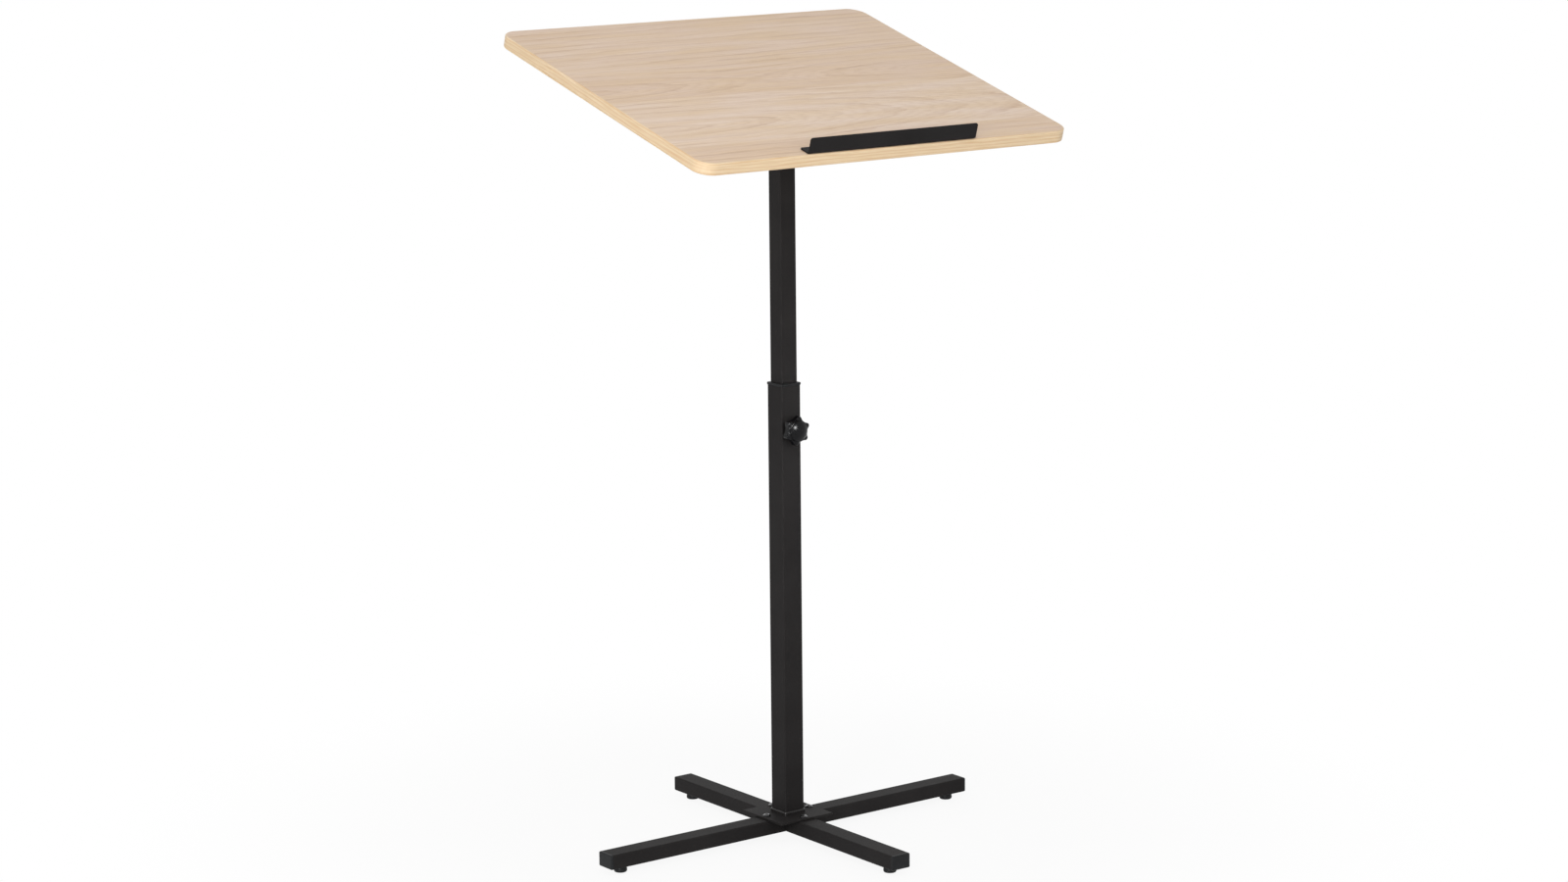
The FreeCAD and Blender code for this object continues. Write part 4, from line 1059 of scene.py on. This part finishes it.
bead = bmesh.new()
rounded_face(bead, weld_size, weld_size, COLUMN_CORNER + weld_width, weld_low.z)
long_sides = [edge for edge in bead.edges if edge.calc_length() > LONG_SIDE]
bmesh.ops.subdivide_edges(bead, edges=long_sides, cuts=SIDE_CUTS)
bead.faces.ensure_lookup_table()
foot = bead.faces[0]
bead_faces = bmesh.ops.inset_region(
    bead, faces=[foot], thickness=weld_width, use_boundary=True, use_even_offset=True)["faces"]
bmesh.ops.delete(bead, geom=[foot], context="FACES_ONLY")
pull(bead, bead_faces, (0, 0, weld_high.z - weld_low.z))


def on_shoulder(edge):
    """Whether an edge runs along the top of the bead's outer side."""
    middle = middle_of(edge)
    outward = max(map(abs, middle.xy))
    return middle.z > weld_high.z - CLEAR_OF_FACE and outward > (weld_size - weld_width) / 2


ease(bead, sharp_edges(bead, on_shoulder), SHOULDER_ROUND, segments=4)
for vert in bead.verts:
    outward = max(map(abs, vert.co.xy))
    if vert.co.z > weld_low.z + CLEAR_OF_FACE and outward > weld_size / 2 - RIPPLED_SHARE * weld_width:
        along = vert.co.x if abs(vert.co.y) > abs(vert.co.x) else vert.co.y
        ripple = math.sin(math.tau * along / RIPPLE_PITCH) - 1
        vert.co += Vector((vert.co.x, vert.co.y, 0)).normalized() * RIPPLE_DEPTH * ripple / 2
hand_over(bead, "column_weld", finish=pooled_paint)

# %% [markdown]
# ## Button-head bolts
# Four bolts hold the plate to the cross. A button head is a low dome with a hexagon socket, and the
# socket's dark hole and bright rim are what the eye reads. A Boolean could cut the socket, but a stack of
# rings keeps its rim clean. Each bolt stops at its own angle, as tightened bolts do.

# %% Button-head bolts
BOLT_HEAD = 5.25 * MM
BOLT_SHANK = 3.0 * MM
BOLT_LENGTH = 16.0 * MM
BOLT_CHAMFER = 0.6 * MM
HEAD_HEIGHT = 3.3 * MM
HEAD_FLAT = 3.5 * MM
HEAD_EDGE = 0.15 * MM
SOCKET_ACROSS = 4.0 * MM
SOCKET_DEPTH = 2.0 * MM
SOCKET_RIM = 0.2 * MM
SOCKET_FLARE = 0.5 * MM
BOLT_SIDES = 48
BOLT_COUNT = 4
BOLT_ANGLE = 17
bolt_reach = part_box("base_bolts")[1].x - BOLT_HEAD
plate_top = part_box("base_plate")[1].z

crown = dome_stations(BOLT_HEAD, HEAD_FLAT, HEAD_HEIGHT / 4, HEAD_HEIGHT, count=6)
button_head_bolt = [
    (hexagon_plan(SOCKET_ACROSS), HEAD_HEIGHT - SOCKET_DEPTH),
    (hexagon_plan(SOCKET_ACROSS), crown[0][1] - SOCKET_RIM),
    (hexagon_plan(SOCKET_ACROSS + SOCKET_FLARE), crown[0][1]),
] + crown + [
    (round_plan(BOLT_HEAD), HEAD_EDGE),
    (round_plan(BOLT_HEAD - HEAD_EDGE), 0.0),
    (round_plan(BOLT_SHANK), 0.0),
    (round_plan(BOLT_SHANK), BOLT_CHAMFER - BOLT_LENGTH),
    (round_plan(BOLT_SHANK - BOLT_CHAMFER), -BOLT_LENGTH),
]
bolts = bmesh.new()
for number in range(BOLT_COUNT):
    bolt = ring_stack(bolts, button_head_bolt, BOLT_SIDES)
    own_angle = Matrix.Rotation(math.radians(BOLT_ANGLE * number), 4, "Z")
    spot = Vector((bolt_reach, 0, plate_top))
    spot.rotate(Matrix.Rotation(math.tau * number / BOLT_COUNT, 3, "Z"))
    bmesh.ops.transform(bolts, matrix=Matrix.Translation(spot) @ own_angle, verts=bolt)
hand_over(bolts, "base_bolts")

# %% [markdown]
# ## End caps
# A moulded plug closes each end of the cross. Its head is as wide as the tube and its outer edge is
# rounded, and a thin-walled plug goes into the tube. The bar and tube from above make it, so its corners
# follow the leg's. All four are alike, so each is modelled on the right-hand end and swung round to its
# own.

# %% End caps
CAP_HEAD = 3.5 * MM
CAP_ROUND = 1.8 * MM
LEG_CORNER = 2.1 * MM
PLUG_GAP = 1.7 * MM
PLUG_WALL = 0.5 * MM
PLUG_CORNER = 0.6 * MM
PLUG_INNER_CORNER = 0.1 * MM
ARMS = {"right": (1, 0, 0), "rear": (0, 1, 0), "left": (-1, 0, 0), "front": (0, -1, 0)}
leg_low, leg_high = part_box("long_leg")
leg_width = leg_high.y - leg_low.y
leg_height = leg_high.z - leg_low.z
leg_middle = (leg_high.z + leg_low.z) / 2

for arm, direction in ARMS.items():
    low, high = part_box("end_cap_" + arm)
    depth = high.x - low.x if arm in ("right", "left") else high.y - low.y
    outer_end = max(abs(value) for corner in (low, high) for value in corner.xy)
    cap = bmesh.new()
    bar(cap, leg_height, leg_width, LEG_CORNER, 0.0, CAP_HEAD)
    rim = sharp_edges(cap, lambda edge: all(vert.co.z > CAP_HEAD - NEAR for vert in edge.verts))
    ease(cap, rim, CAP_ROUND, segments=4)
    tube(cap, leg_height - 2 * PLUG_GAP, leg_width - 2 * PLUG_GAP, PLUG_CORNER, wall=PLUG_WALL,
         inner_radius=PLUG_INNER_CORNER, low=CAP_HEAD - depth, high=0.0)
    stand(cap, ARMS["right"], (outer_end - CAP_HEAD, 0, leg_middle))
    swing = Matrix.Rotation(math.atan2(direction[1], direction[0]), 3, "Z")
    bmesh.ops.rotate(cap, cent=(0, 0, 0), matrix=swing, verts=cap.verts)
    hand_over(cap, "end_cap_" + arm)

# %% [markdown]
# ## Glides
# Under each end a round glide with a rolled lower edge screws in or out to level the desk, on a threaded
# stud. To the eye it is a small dark disc. A cylinder would do for that, but the roll shows from near the
# floor and the thread shows when the glide is screwed out, so both are spun.

# %% Glides
M6 = 3.0 * MM
M6_PITCH = 1.0 * MM
M6_ROOT = M6 - 0.5 * MM
LEAD_IN = 0.5 * MM
HOLE_PLAY = 0.06 * MM
GLIDE_ROLL = 2.5 * MM
GLIDE_TAPER = 0.8 * MM
STUD_SEAT = 3.0 * MM
LOWER_RIM_ROUND = 0.9 * MM
UPPER_RIM_ROUND = 0.5 * MM
ROLL_FOLD = 20

for arm in ARMS:
    low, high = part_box("glide_pad_" + arm)
    spot = Vector(((low.x + high.x) / 2, (low.y + high.y) / 2, 0))
    radius = (high.x - low.x) / 2
    pad = bmesh.new()
    spun(pad, (
        (0, 0), (radius - GLIDE_ROLL * 0.4, 0), (radius, GLIDE_ROLL * 0.8), (radius - GLIDE_TAPER, high.z),
        (M6 + HOLE_PLAY, high.z), (M6 + HOLE_PLAY, STUD_SEAT), (0, STUD_SEAT)))
    lower_rim = sharp_edges(pad, lambda edge: all(vert.co.z < GLIDE_ROLL for vert in edge.verts), ROLL_FOLD)
    ease(pad, lower_rim, LOWER_RIM_ROUND)
    upper_rim = sharp_edges(pad, lambda edge: edge.verts[0].co.xy.length > radius / 2)
    ease(pad, upper_rim, UPPER_RIM_ROUND, segments=2)
    bmesh.ops.translate(pad, vec=spot, verts=pad.verts)
    hand_over(pad, "glide_pad_" + arm)
    rod_low, rod_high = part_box("glide_stud_" + arm)
    rod = bmesh.new()
    spun(rod, ((0, rod_low.z), (M6_ROOT, rod_low.z), (M6_ROOT, rod_high.z), (0, rod_high.z)))
    thread(rod, M6, M6_PITCH, rod_low.z + LEAD_IN, rod_high.z)
    bmesh.ops.translate(rod, vec=spot, verts=rod.verts)
    hand_over(rod, "glide_stud_" + arm)

# %% [markdown]
# ## Plan of a star knob
# Both knobs are the same moulding with six lobes. Seen from the front, a lobe is a round tip that runs
# into a hollow scallop without a corner. It could be traced as a curve, but a formula keeps all lobes
# alike. Tip and scallop are arcs, and they change over where the line between their centres crosses them.

# %% Plan of a star knob
LOBES = 6
KNOB_RADIUS = 20.0 * MM
TIP = 3.5 * MM
SCALLOP = 14.0 * MM
FIRST_LOBE = math.radians(81)


def star_plan(inset):
    """Distance to the side of the knob, less an inset."""
    half = math.pi / LOBES
    tip_reach = KNOB_RADIUS - TIP
    span = TIP + SCALLOP
    scallop_reach = tip_reach * math.cos(half) + math.sqrt(span ** 2 - (tip_reach * math.sin(half)) ** 2)
    touch_x = tip_reach + (scallop_reach * math.cos(half) - tip_reach) * TIP / span
    touch_y = scallop_reach * math.sin(half) * TIP / span
    handover = math.atan2(touch_y, touch_x)

    def reach(angle):
        aside = abs((angle - FIRST_LOBE + half) % (2 * half) - half)
        if aside < handover:
            side = tip_reach * math.cos(aside) + math.sqrt(TIP ** 2 - (tip_reach * math.sin(aside)) ** 2)
        else:
            back = half - aside
            off = scallop_reach * math.sin(back)
            side = scallop_reach * math.cos(back) - math.sqrt(SCALLOP ** 2 - off ** 2)
        return side - inset
    return reach


valley = star_plan(0.0)(FIRST_LOBE + math.pi / LOBES)
print("from the axis to a tip", KNOB_RADIUS / MM, "mm, and to a scallop", round(valley / MM, 1), "mm")

# %% [markdown]
# ## Star knobs
# The knob is a polished dome on the lobes, hollow behind, on a threaded hub. A disc with six cylinders
# could stand for it, but would show its joins. So its skin is one stack of rings: from the bottom of the
# threaded hole, out over the hub, into the hollow back, round the lobes, over a small bead and up to the
# middle of the dome, where the highlight sits.

# %% Star knobs
BORE = 4.06 * MM
BORE_DEPTH = 9.0 * MM
HUB = 8.0 * MM
HUB_LENGTH = 2.0 * MM
HUB_EDGE = 0.4 * MM
BACK_WALL = 2.2 * MM
BACK_HOLLOW = 5.0 * MM
BACK_EDGE = 0.5 * MM
LOBE_HEIGHT = 8.0 * MM
LOBE_EDGE = 0.9 * MM
SHOULDER = 10.5 * MM
BEAD = 1.0 * MM
DOME = 13.5 * MM
DOME_RISE = 4.0 * MM
DOME_STEP = 1.0 * MM
DOME_EDGE = 0.4 * MM
DOME_FLAT = 0.4 * MM
KNOB_SIDES = 180


def star_knob(node, direction, place):
    """One knob with its hub's back face at a place, pointing along a direction."""
    back = HUB_LENGTH
    front = back + LOBE_HEIGHT
    shoulder = back + SHOULDER
    step = shoulder - DOME_STEP
    hub = [
        (round_plan(BORE), BORE_DEPTH),
        (round_plan(BORE), HUB_EDGE),
        (round_plan(BORE + HUB_EDGE), 0.0),
        (round_plan(HUB - HUB_EDGE), 0.0),
        (round_plan(HUB), HUB_EDGE),
        (round_plan(HUB), back + BACK_HOLLOW),
    ]
    lobes = [
        (star_plan(BACK_WALL), back + BACK_HOLLOW),
        (star_plan(BACK_WALL), back + 0.6 * BACK_EDGE),
        (star_plan(BACK_WALL - 0.8 * BACK_EDGE), back),
        (star_plan(BACK_EDGE), back),
        (star_plan(0.24 * BACK_EDGE), back + 0.4 * BACK_EDGE),
        (star_plan(0.0), back + 1.4 * BACK_EDGE),
        (star_plan(0.0), front - LOBE_EDGE),
        (star_plan(0.1 * LOBE_EDGE), front - 0.55 * LOBE_EDGE),
        (star_plan(0.35 * LOBE_EDGE), front - 0.15 * LOBE_EDGE),
        (star_plan(LOBE_EDGE), front + 0.2 * LOBE_EDGE),
    ]
    bead = [
        (round_plan(DOME + BEAD), step),
        (round_plan(DOME + 0.85 * BEAD), step + 0.35 * BEAD),
        (round_plan(DOME + 0.5 * BEAD), step + 0.5 * BEAD),
        (round_plan(DOME + 0.15 * BEAD), step + 0.35 * BEAD),
        (round_plan(DOME), step),
    ]
    dome_edge = [
        (round_plan(DOME), shoulder - DOME_EDGE),
        (round_plan(DOME - 0.15 * DOME_EDGE), shoulder - 0.3 * DOME_EDGE),
        (round_plan(DOME - 0.625 * DOME_EDGE), shoulder + 0.25 * DOME_EDGE),
    ]
    dome = dome_stations(DOME, DOME_FLAT, shoulder, shoulder + DOME_RISE, count=24)
    knob = bmesh.new()
    ring_stack(knob, hub + lobes + bead + dome_edge + dome[-2::-1], KNOB_SIDES)
    stand(knob, direction, place)
    hand_over(knob, node)


clamp_axis = Vector(joints["clamp_knob_turn"]["pos_m"])
tilt_axis = Vector(joints["tilt_knob_turn"]["pos_m"])
star_knob("clamp_knob", (0, -1, 0), (0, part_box("clamp_knob")[1].y, clamp_axis.z))
star_knob("tilt_knob", (1, 0, 0), (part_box("tilt_knob")[0].x, 0, tilt_axis.z))

# %% [markdown]
# ## Clamp boss and stud
# The clamp's stud screws through a round boss on the front of the column and presses on the inner tube.
# The boss is a plain turned collar. A bump could stand for the stud's thread, but it shows in outline
# when the knob is undone, so it is a real one.

# %% Clamp boss and stud
M8 = 4.0 * MM
M8_PITCH = 1.25 * MM
M8_ROOT = M8 - 0.6 * MM
STUD_TIP = M8 - 1.4 * MM
TIP_LENGTH = 1.0 * MM
THREAD_START = 0.4 * MM
THREAD_STOP = 0.6 * MM
BOSS_EDGE = 0.5 * MM

boss_low, boss_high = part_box("clamp_boss")
boss = bmesh.new()
washer(boss, M8 + HOLE_PLAY, (boss_high.x - boss_low.x) / 2, boss_high.y - boss_low.y, BOSS_EDGE)
stand(boss, (0, -1, 0), (0, boss_high.y, clamp_axis.z))
hand_over(boss, "clamp_boss")

stud_low, stud_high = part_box("clamp_stud")
stud_length = stud_high.y - stud_low.y
stud = bmesh.new()
spun(stud, (
    (0, 0), (M8_ROOT, 0), (M8_ROOT, stud_length - TIP_LENGTH), (STUD_TIP, stud_length), (0, stud_length)))
thread(stud, M8, M8_PITCH, THREAD_START, stud_length - THREAD_STOP)
stand(stud, (0, 1, 0), (0, stud_low.y, clamp_axis.z))
hand_over(stud, "clamp_stud")

# %% [markdown]
# ## Washers of the tilt
# Nylon washers between the tube and the bracket keep the paint whole, and steel ones spread the load
# under the pivot's head and nut and under the knob. They could be spun side by side, but easing works on
# everything that is on the bench. So each is made by itself and then joined to its set.

# %% Washers of the tilt
NYLON_THICKNESS = 1.0 * MM
NYLON_EDGE = 0.2 * MM
STEEL_EDGE = 0.25 * MM


def washer_set(node, thickness, edge, heights, both_sides):
    """Washers at each height, at the left end of the set's box, and at its right end too for both sides."""
    low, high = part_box(node)
    faces = (low.x, high.x - thickness) if both_sides else (low.x,)
    rings = bmesh.new()
    for face in faces:
        for height in heights:
            single = bmesh.new()
            washer(single, M8 + HOLE_PLAY, (high.y - low.y) / 2, thickness, edge)
            stand(single, (1, 0, 0), (face, 0, height))
            bench = bpy.data.meshes.new("washer_on_the_bench")
            single.to_mesh(bench)
            single.free()
            rings.from_mesh(bench)
            bpy.data.meshes.remove(bench)
    hand_over(rings, node)


follow_low, follow_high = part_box("tilt_washer")
steel_thickness = follow_high.x - follow_low.x
washer_set("pivot_washers", steel_thickness, STEEL_EDGE, (PIVOT.z,), both_sides=True)
washer_set("nylon_washers", NYLON_THICKNESS, NYLON_EDGE, (PIVOT.z, tilt_axis.z), both_sides=True)
washer_set("tilt_washer", steel_thickness, STEEL_EDGE, (tilt_axis.z,), both_sides=False)

# %% [markdown]
# ## Pivot bolt
# The top turns on a hexagon bolt. The corners of its head are turned off by a chamfer, which shows as a
# bright arc on each flat. A ring that follows a hexagon is followed by a round one that is a little
# smaller than its flats, and the chamfer comes out between them.

# %% Pivot bolt
HEX_ACROSS = 13.0 * MM
HEX_HEAD = 5.3 * MM
HEX_FACE = HEX_ACROSS / 2 - 0.1 * MM
M8_SHANK = M8 - 0.1 * MM
RUN_OUT = 1.0 * MM
CHAMFER = 0.6 * MM
HARDWARE_SIDES = 48

pivot_low, pivot_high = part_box("pivot_bolt")
pivot_length = pivot_high.x - pivot_low.x - HEX_HEAD
pivot_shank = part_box("pivot_washers")[1].x - pivot_low.x - HEX_HEAD
pivot_bolt = bmesh.new()
ring_stack(pivot_bolt, [
    (round_plan(HEX_FACE), -HEX_HEAD),
    (hexagon_plan(HEX_ACROSS), CHAMFER - HEX_HEAD),
    (hexagon_plan(HEX_ACROSS), 0.0),
    (round_plan(M8_SHANK), 0.0),
    (round_plan(M8_SHANK), pivot_shank - RUN_OUT),
    (round_plan(M8_ROOT), pivot_shank),
    (round_plan(M8_ROOT), pivot_length - CHAMFER),
    (round_plan(M8_ROOT - CHAMFER), pivot_length),
], HARDWARE_SIDES)
thread(pivot_bolt, M8, M8_PITCH, pivot_shank, pivot_length)
stand(pivot_bolt, (1, 0, 0), (pivot_low.x + HEX_HEAD, 0, PIVOT.z))
hand_over(pivot_bolt, "pivot_bolt")

# %% [markdown]
# ## Lock nut
# The pivot must turn without coming loose, so its nut has a round collar with a nylon ring inside, which
# grips the thread. The nut is the bolt's head over again with a hole through it, and its stack starts
# inside the hole.

# %% Lock nut
NUT_COLLAR = 5.6 * MM
COLLAR_LENGTH = 2.0 * MM
COLLAR_STEP = 0.1 * MM
MOUTH_DEPTH = 0.3 * MM
MOUTH_FLARE = 0.4 * MM
nut_low, nut_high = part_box("pivot_nut")
nut_length = nut_high.x - nut_low.x
nut = bmesh.new()
ring_stack(nut, [
    (round_plan(M8 + HOLE_PLAY), nut_length),
    (round_plan(M8 + HOLE_PLAY), MOUTH_DEPTH),
    (round_plan(M8 + MOUTH_FLARE), 0.0),
    (round_plan(HEX_FACE), 0.0),
    (hexagon_plan(HEX_ACROSS), CHAMFER),
    (hexagon_plan(HEX_ACROSS), nut_length - COLLAR_LENGTH - CHAMFER),
    (round_plan(HEX_FACE), nut_length - COLLAR_LENGTH),
    (round_plan(NUT_COLLAR), nut_length - COLLAR_LENGTH + COLLAR_STEP),
    (round_plan(NUT_COLLAR), nut_length - CHAMFER),
    (round_plan(NUT_COLLAR - CHAMFER), nut_length),
], HARDWARE_SIDES)
stand(nut, (1, 0, 0), (nut_low.x, 0, PIVOT.z))
hand_over(nut, "pivot_nut")

# %% [markdown]
# ## Carriage bolt of the tilt lock
# A carriage bolt runs in the arc slots of the bracket. Its low dome has no socket: the square neck under
# it keeps it from turning while the knob is tightened. Dome, neck and shank could be three solids. They
# are one stack, because a plan can be square as well as round.

# %% Carriage bolt of the tilt lock
CARRIAGE_HEAD = 4.2 * MM
HEAD_TOP = 0.4 * MM
NECK = 7.6 * MM
NECK_CORNER = 0.67 * NECK
NECK_LENGTH = 2.5 * MM
THREADED_LENGTH = 9.0 * MM
lock_low, lock_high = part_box("tilt_lock_bolt")
carriage_radius = (lock_high.y - lock_low.y) / 2
lock_length = lock_high.x - lock_low.x - CARRIAGE_HEAD


def neck_plan(angle):
    """Distance to the side of the forged square neck, whose corners are rolled off."""
    quarter = math.tau / 4
    aside = (angle + quarter / 2) % quarter - quarter / 2
    return min(NECK / 2 / math.cos(aside), NECK_CORNER)


head_rings = dome_stations(carriage_radius, HEAD_TOP, CARRIAGE_HEAD / 4, CARRIAGE_HEAD, count=8)
carriage = bmesh.new()
ring_stack(carriage, [(plan, -height) for plan, height in head_rings] + [
    (round_plan(carriage_radius), 0.0),
    (neck_plan, 0.0),
    (neck_plan, NECK_LENGTH),
    (round_plan(M8_SHANK), NECK_LENGTH),
    (round_plan(M8_SHANK), lock_length - THREADED_LENGTH),
    (round_plan(M8_ROOT), lock_length - THREADED_LENGTH + RUN_OUT),
    (round_plan(M8_ROOT), lock_length - CHAMFER),
    (round_plan(M8_ROOT - CHAMFER), lock_length),
], HARDWARE_SIDES)
thread(carriage, M8, M8_PITCH, lock_length - THREADED_LENGTH, lock_length)
stand(carriage, (1, 0, 0), (lock_low.x + CARRIAGE_HEAD, 0, tilt_axis.z))
hand_over(carriage, "tilt_lock_bolt")

# %% [markdown]
# ## Pieces that keep the form of the construction
# The guide, the spacer sleeves and the rivet nuts are inside the tubes. Their forms are right as they
# are, and they only take their finishes.

# %% Pieces that keep the form of the construction
for node in ("mast_guide", "spacer_sleeves", "glide_rivet_nuts", "bolt_rivet_nuts"):
    mesh = frame["nodes"][node].data
    mesh.materials.clear()
    mesh.materials.append(FINISHES[SLOT_OF[node]])
    print(node, "wears", FINISHES[SLOT_OF[node]].name)

# %% [markdown]
# ## Floor and background
# The desk stands on white paper in a white room. What the camera sees of the room, straight or in a
# reflection, is plain white, while the desk itself is lit less by it. A floor that only glows would have
# no shadow. So the paper is lifted towards white for the same rays, least near the desk, and keeps a
# faint shadow there.

# %% Floor and background
FLOOR_SIZE = 40.0
LIFT_NEAR_DESK = 0.91
SHADOW_REACH = (0.3, 1.0)
ROOM_LIGHT = 0.58
WHITE = (1, 1, 1, 1)


def plain_sight(tree):
    """1 for what the camera sees, straight or in a reflection or through glass, else 0."""
    path = add(tree, "LightPath").outputs
    either = add(tree, "Math", {0: path["Is Camera Ray"], 1: path["Is Glossy Ray"]}, operation="MAXIMUM")
    return add(tree, "Math", {
        0: either.outputs[0], 1: path["Is Transmission Ray"]}, operation="MAXIMUM").outputs[0]


def backdrop_paper():
    """Matt white paper that keeps a faint shadow near the desk."""
    material, tree, shader, place = new_finish("white_backdrop_paper")
    set_inputs(tree, shader, {"Base Color": linear("#e6e6e6"), "Roughness": 0.9, "Specular IOR Level": 0.0})
    white = add(tree, "Emission", {"Color": WHITE, "Strength": 1.0})
    from_desk = add(tree, "VectorMath", {0: place}, operation="LENGTH")
    fade = add(tree, "MapRange", {
        "Value": from_desk.outputs["Value"], "From Min": SHADOW_REACH[0], "From Max": SHADOW_REACH[1],
        "To Min": LIFT_NEAR_DESK, "To Max": 1.0}, interpolation_type="SMOOTHSTEP")
    lift = add(tree, "Math", {0: plain_sight(tree), 1: fade.outputs["Result"]}, operation="MULTIPLY")
    lifted = add(tree, "MixShader", {
        0: lift.outputs[0], 1: shader.outputs["BSDF"], 2: white.outputs["Emission"]})
    set_inputs(tree, tree.nodes["Material Output"], {"Surface": lifted.outputs["Shader"]})
    return material


sheet = bmesh.new()
bmesh.ops.create_grid(sheet, x_segments=1, y_segments=1, size=FLOOR_SIZE / 2)
floor_mesh = bpy.data.meshes.new("studio_floor")
sheet.to_mesh(floor_mesh)
sheet.free()
floor_mesh.materials.append(backdrop_paper())
floor = bpy.data.objects.new("studio_floor", floor_mesh)
bpy.context.scene.collection.objects.link(floor)

world = bpy.data.worlds.new("white_studio")
bpy.context.scene.world = world
world.use_nodes = True
room_tree = world.node_tree
room = add(room_tree, "MapRange", {"Value": plain_sight(room_tree), "To Min": ROOM_LIGHT, "To Max": 1.0})
set_inputs(room_tree, room_tree.nodes["Background"], {"Color": WHITE, "Strength": room.outputs["Result"]})
print("the room lights the desk with", ROOM_LIGHT, "of white")

# %% [markdown]
# ## Lamps
# The lamps are soft boxes. A tall key at the user's left lights the edge strip and the left faces, a
# small fill and a high lamp in front do the front faces and the top, and a box behind keeps the back from
# going dark. Black pieces show little but reflections, so two more boxes light gloss only: one draws the
# sheen on the near edges, and one, behind a grid that narrows its beam, the highlight on the knob.

# %% Lamps
def soft_box(name, place, target, size, power, beam=180, lights=("matt", "gloss")):
    """A rectangular lamp that points at a target, with its beam in degrees and what it shows on."""
    light = bpy.data.lights.new(name, "AREA")
    light.energy = power
    light.shape = "RECTANGLE"
    light.size, light.size_y = size
    light.spread = math.radians(beam)
    lamp = bpy.data.objects.new(name, light)
    lamp.location = place
    lamp.rotation_euler = (Vector(target) - Vector(place)).to_track_quat("-Z", "Y").to_euler()
    lamp.visible_camera = False
    lamp.visible_diffuse = "matt" in lights
    lamp.visible_glossy = "gloss" in lights
    bpy.context.scene.collection.objects.link(lamp)
    print(name, power, "W on", " and ".join(lights))


LEFT = (-2.7, -2.0, 0.9)
UNDER_TOP = (0, 0, 0.8)
soft_box("tall_key_at_the_left", LEFT, UNDER_TOP, size=(0.4, 1.8), power=46)
soft_box("front_fill", (0.15, -2.9, 1.47), (0, 0, 0.6), size=(0.28, 0.36), power=5.5)
soft_box("high_front", (-0.9, -1.5, 3.0), (0, 0, 0.5), size=(0.6, 0.6), power=13)
soft_box("edge_gloss_at_the_left", LEFT, UNDER_TOP, size=(0.5, 2.0), power=60, lights=("gloss",))
soft_box("knob_gloss_in_front", (-0.035, -1.19, 0.943), clamp_axis, size=(0.34, 0.34), power=0.45,
         beam=26, lights=("gloss",))
soft_box("rear_fill", (1.6, 2.6, 0.7), (0, 0, 0.7), size=(1.2, 1.2), power=26, lights=("matt",))

# %% [markdown]
# ## Camera
# The photograph was taken from the front left, a little above the top, through a long lens. A camera
# could be put there by eye. The angles below were worked out from the picture instead, so that the
# corners of the top, the ends of the cross and the column are where they are in it.

# %% Camera
CAMERA_TURN = math.radians(36.767)
CAMERA_RISE = math.radians(10.761)
CAMERA_ROLL = math.radians(0.546)
CAMERA_DISTANCE = 5162.5 * MM
CAMERA_HEIGHT = 549.1 * MM
CAMERA_ASIDE = -0.5 * MM
SENSOR_WIDTH_MM = 36.0
LENS_MM = 87.97

backward = Vector((-math.sin(CAMERA_TURN) * math.cos(CAMERA_RISE),
                   -math.cos(CAMERA_TURN) * math.cos(CAMERA_RISE), math.sin(CAMERA_RISE)))
rightward = Vector((math.cos(CAMERA_TURN), -math.sin(CAMERA_TURN), 0))
upward = backward.cross(rightward)
cosine, sine = math.cos(CAMERA_ROLL), -math.sin(CAMERA_ROLL)
axes = Matrix((cosine * rightward + sine * upward, cosine * upward - sine * rightward, backward))
eye = Vector((0, 0, CAMERA_HEIGHT)) + backward * CAMERA_DISTANCE + rightward * CAMERA_ASIDE

lens = bpy.data.cameras.new("photograph")
lens.sensor_width = SENSOR_WIDTH_MM
lens.lens = LENS_MM
camera = bpy.data.objects.new("photograph", lens)
camera.matrix_world = Matrix.Translation(eye) @ axes.transposed().to_4x4()
bpy.context.scene.collection.objects.link(camera)
bpy.context.scene.camera = camera
bpy.context.scene.view_settings.view_transform = "Standard"
print("camera at", [round(value, 3) for value in eye])
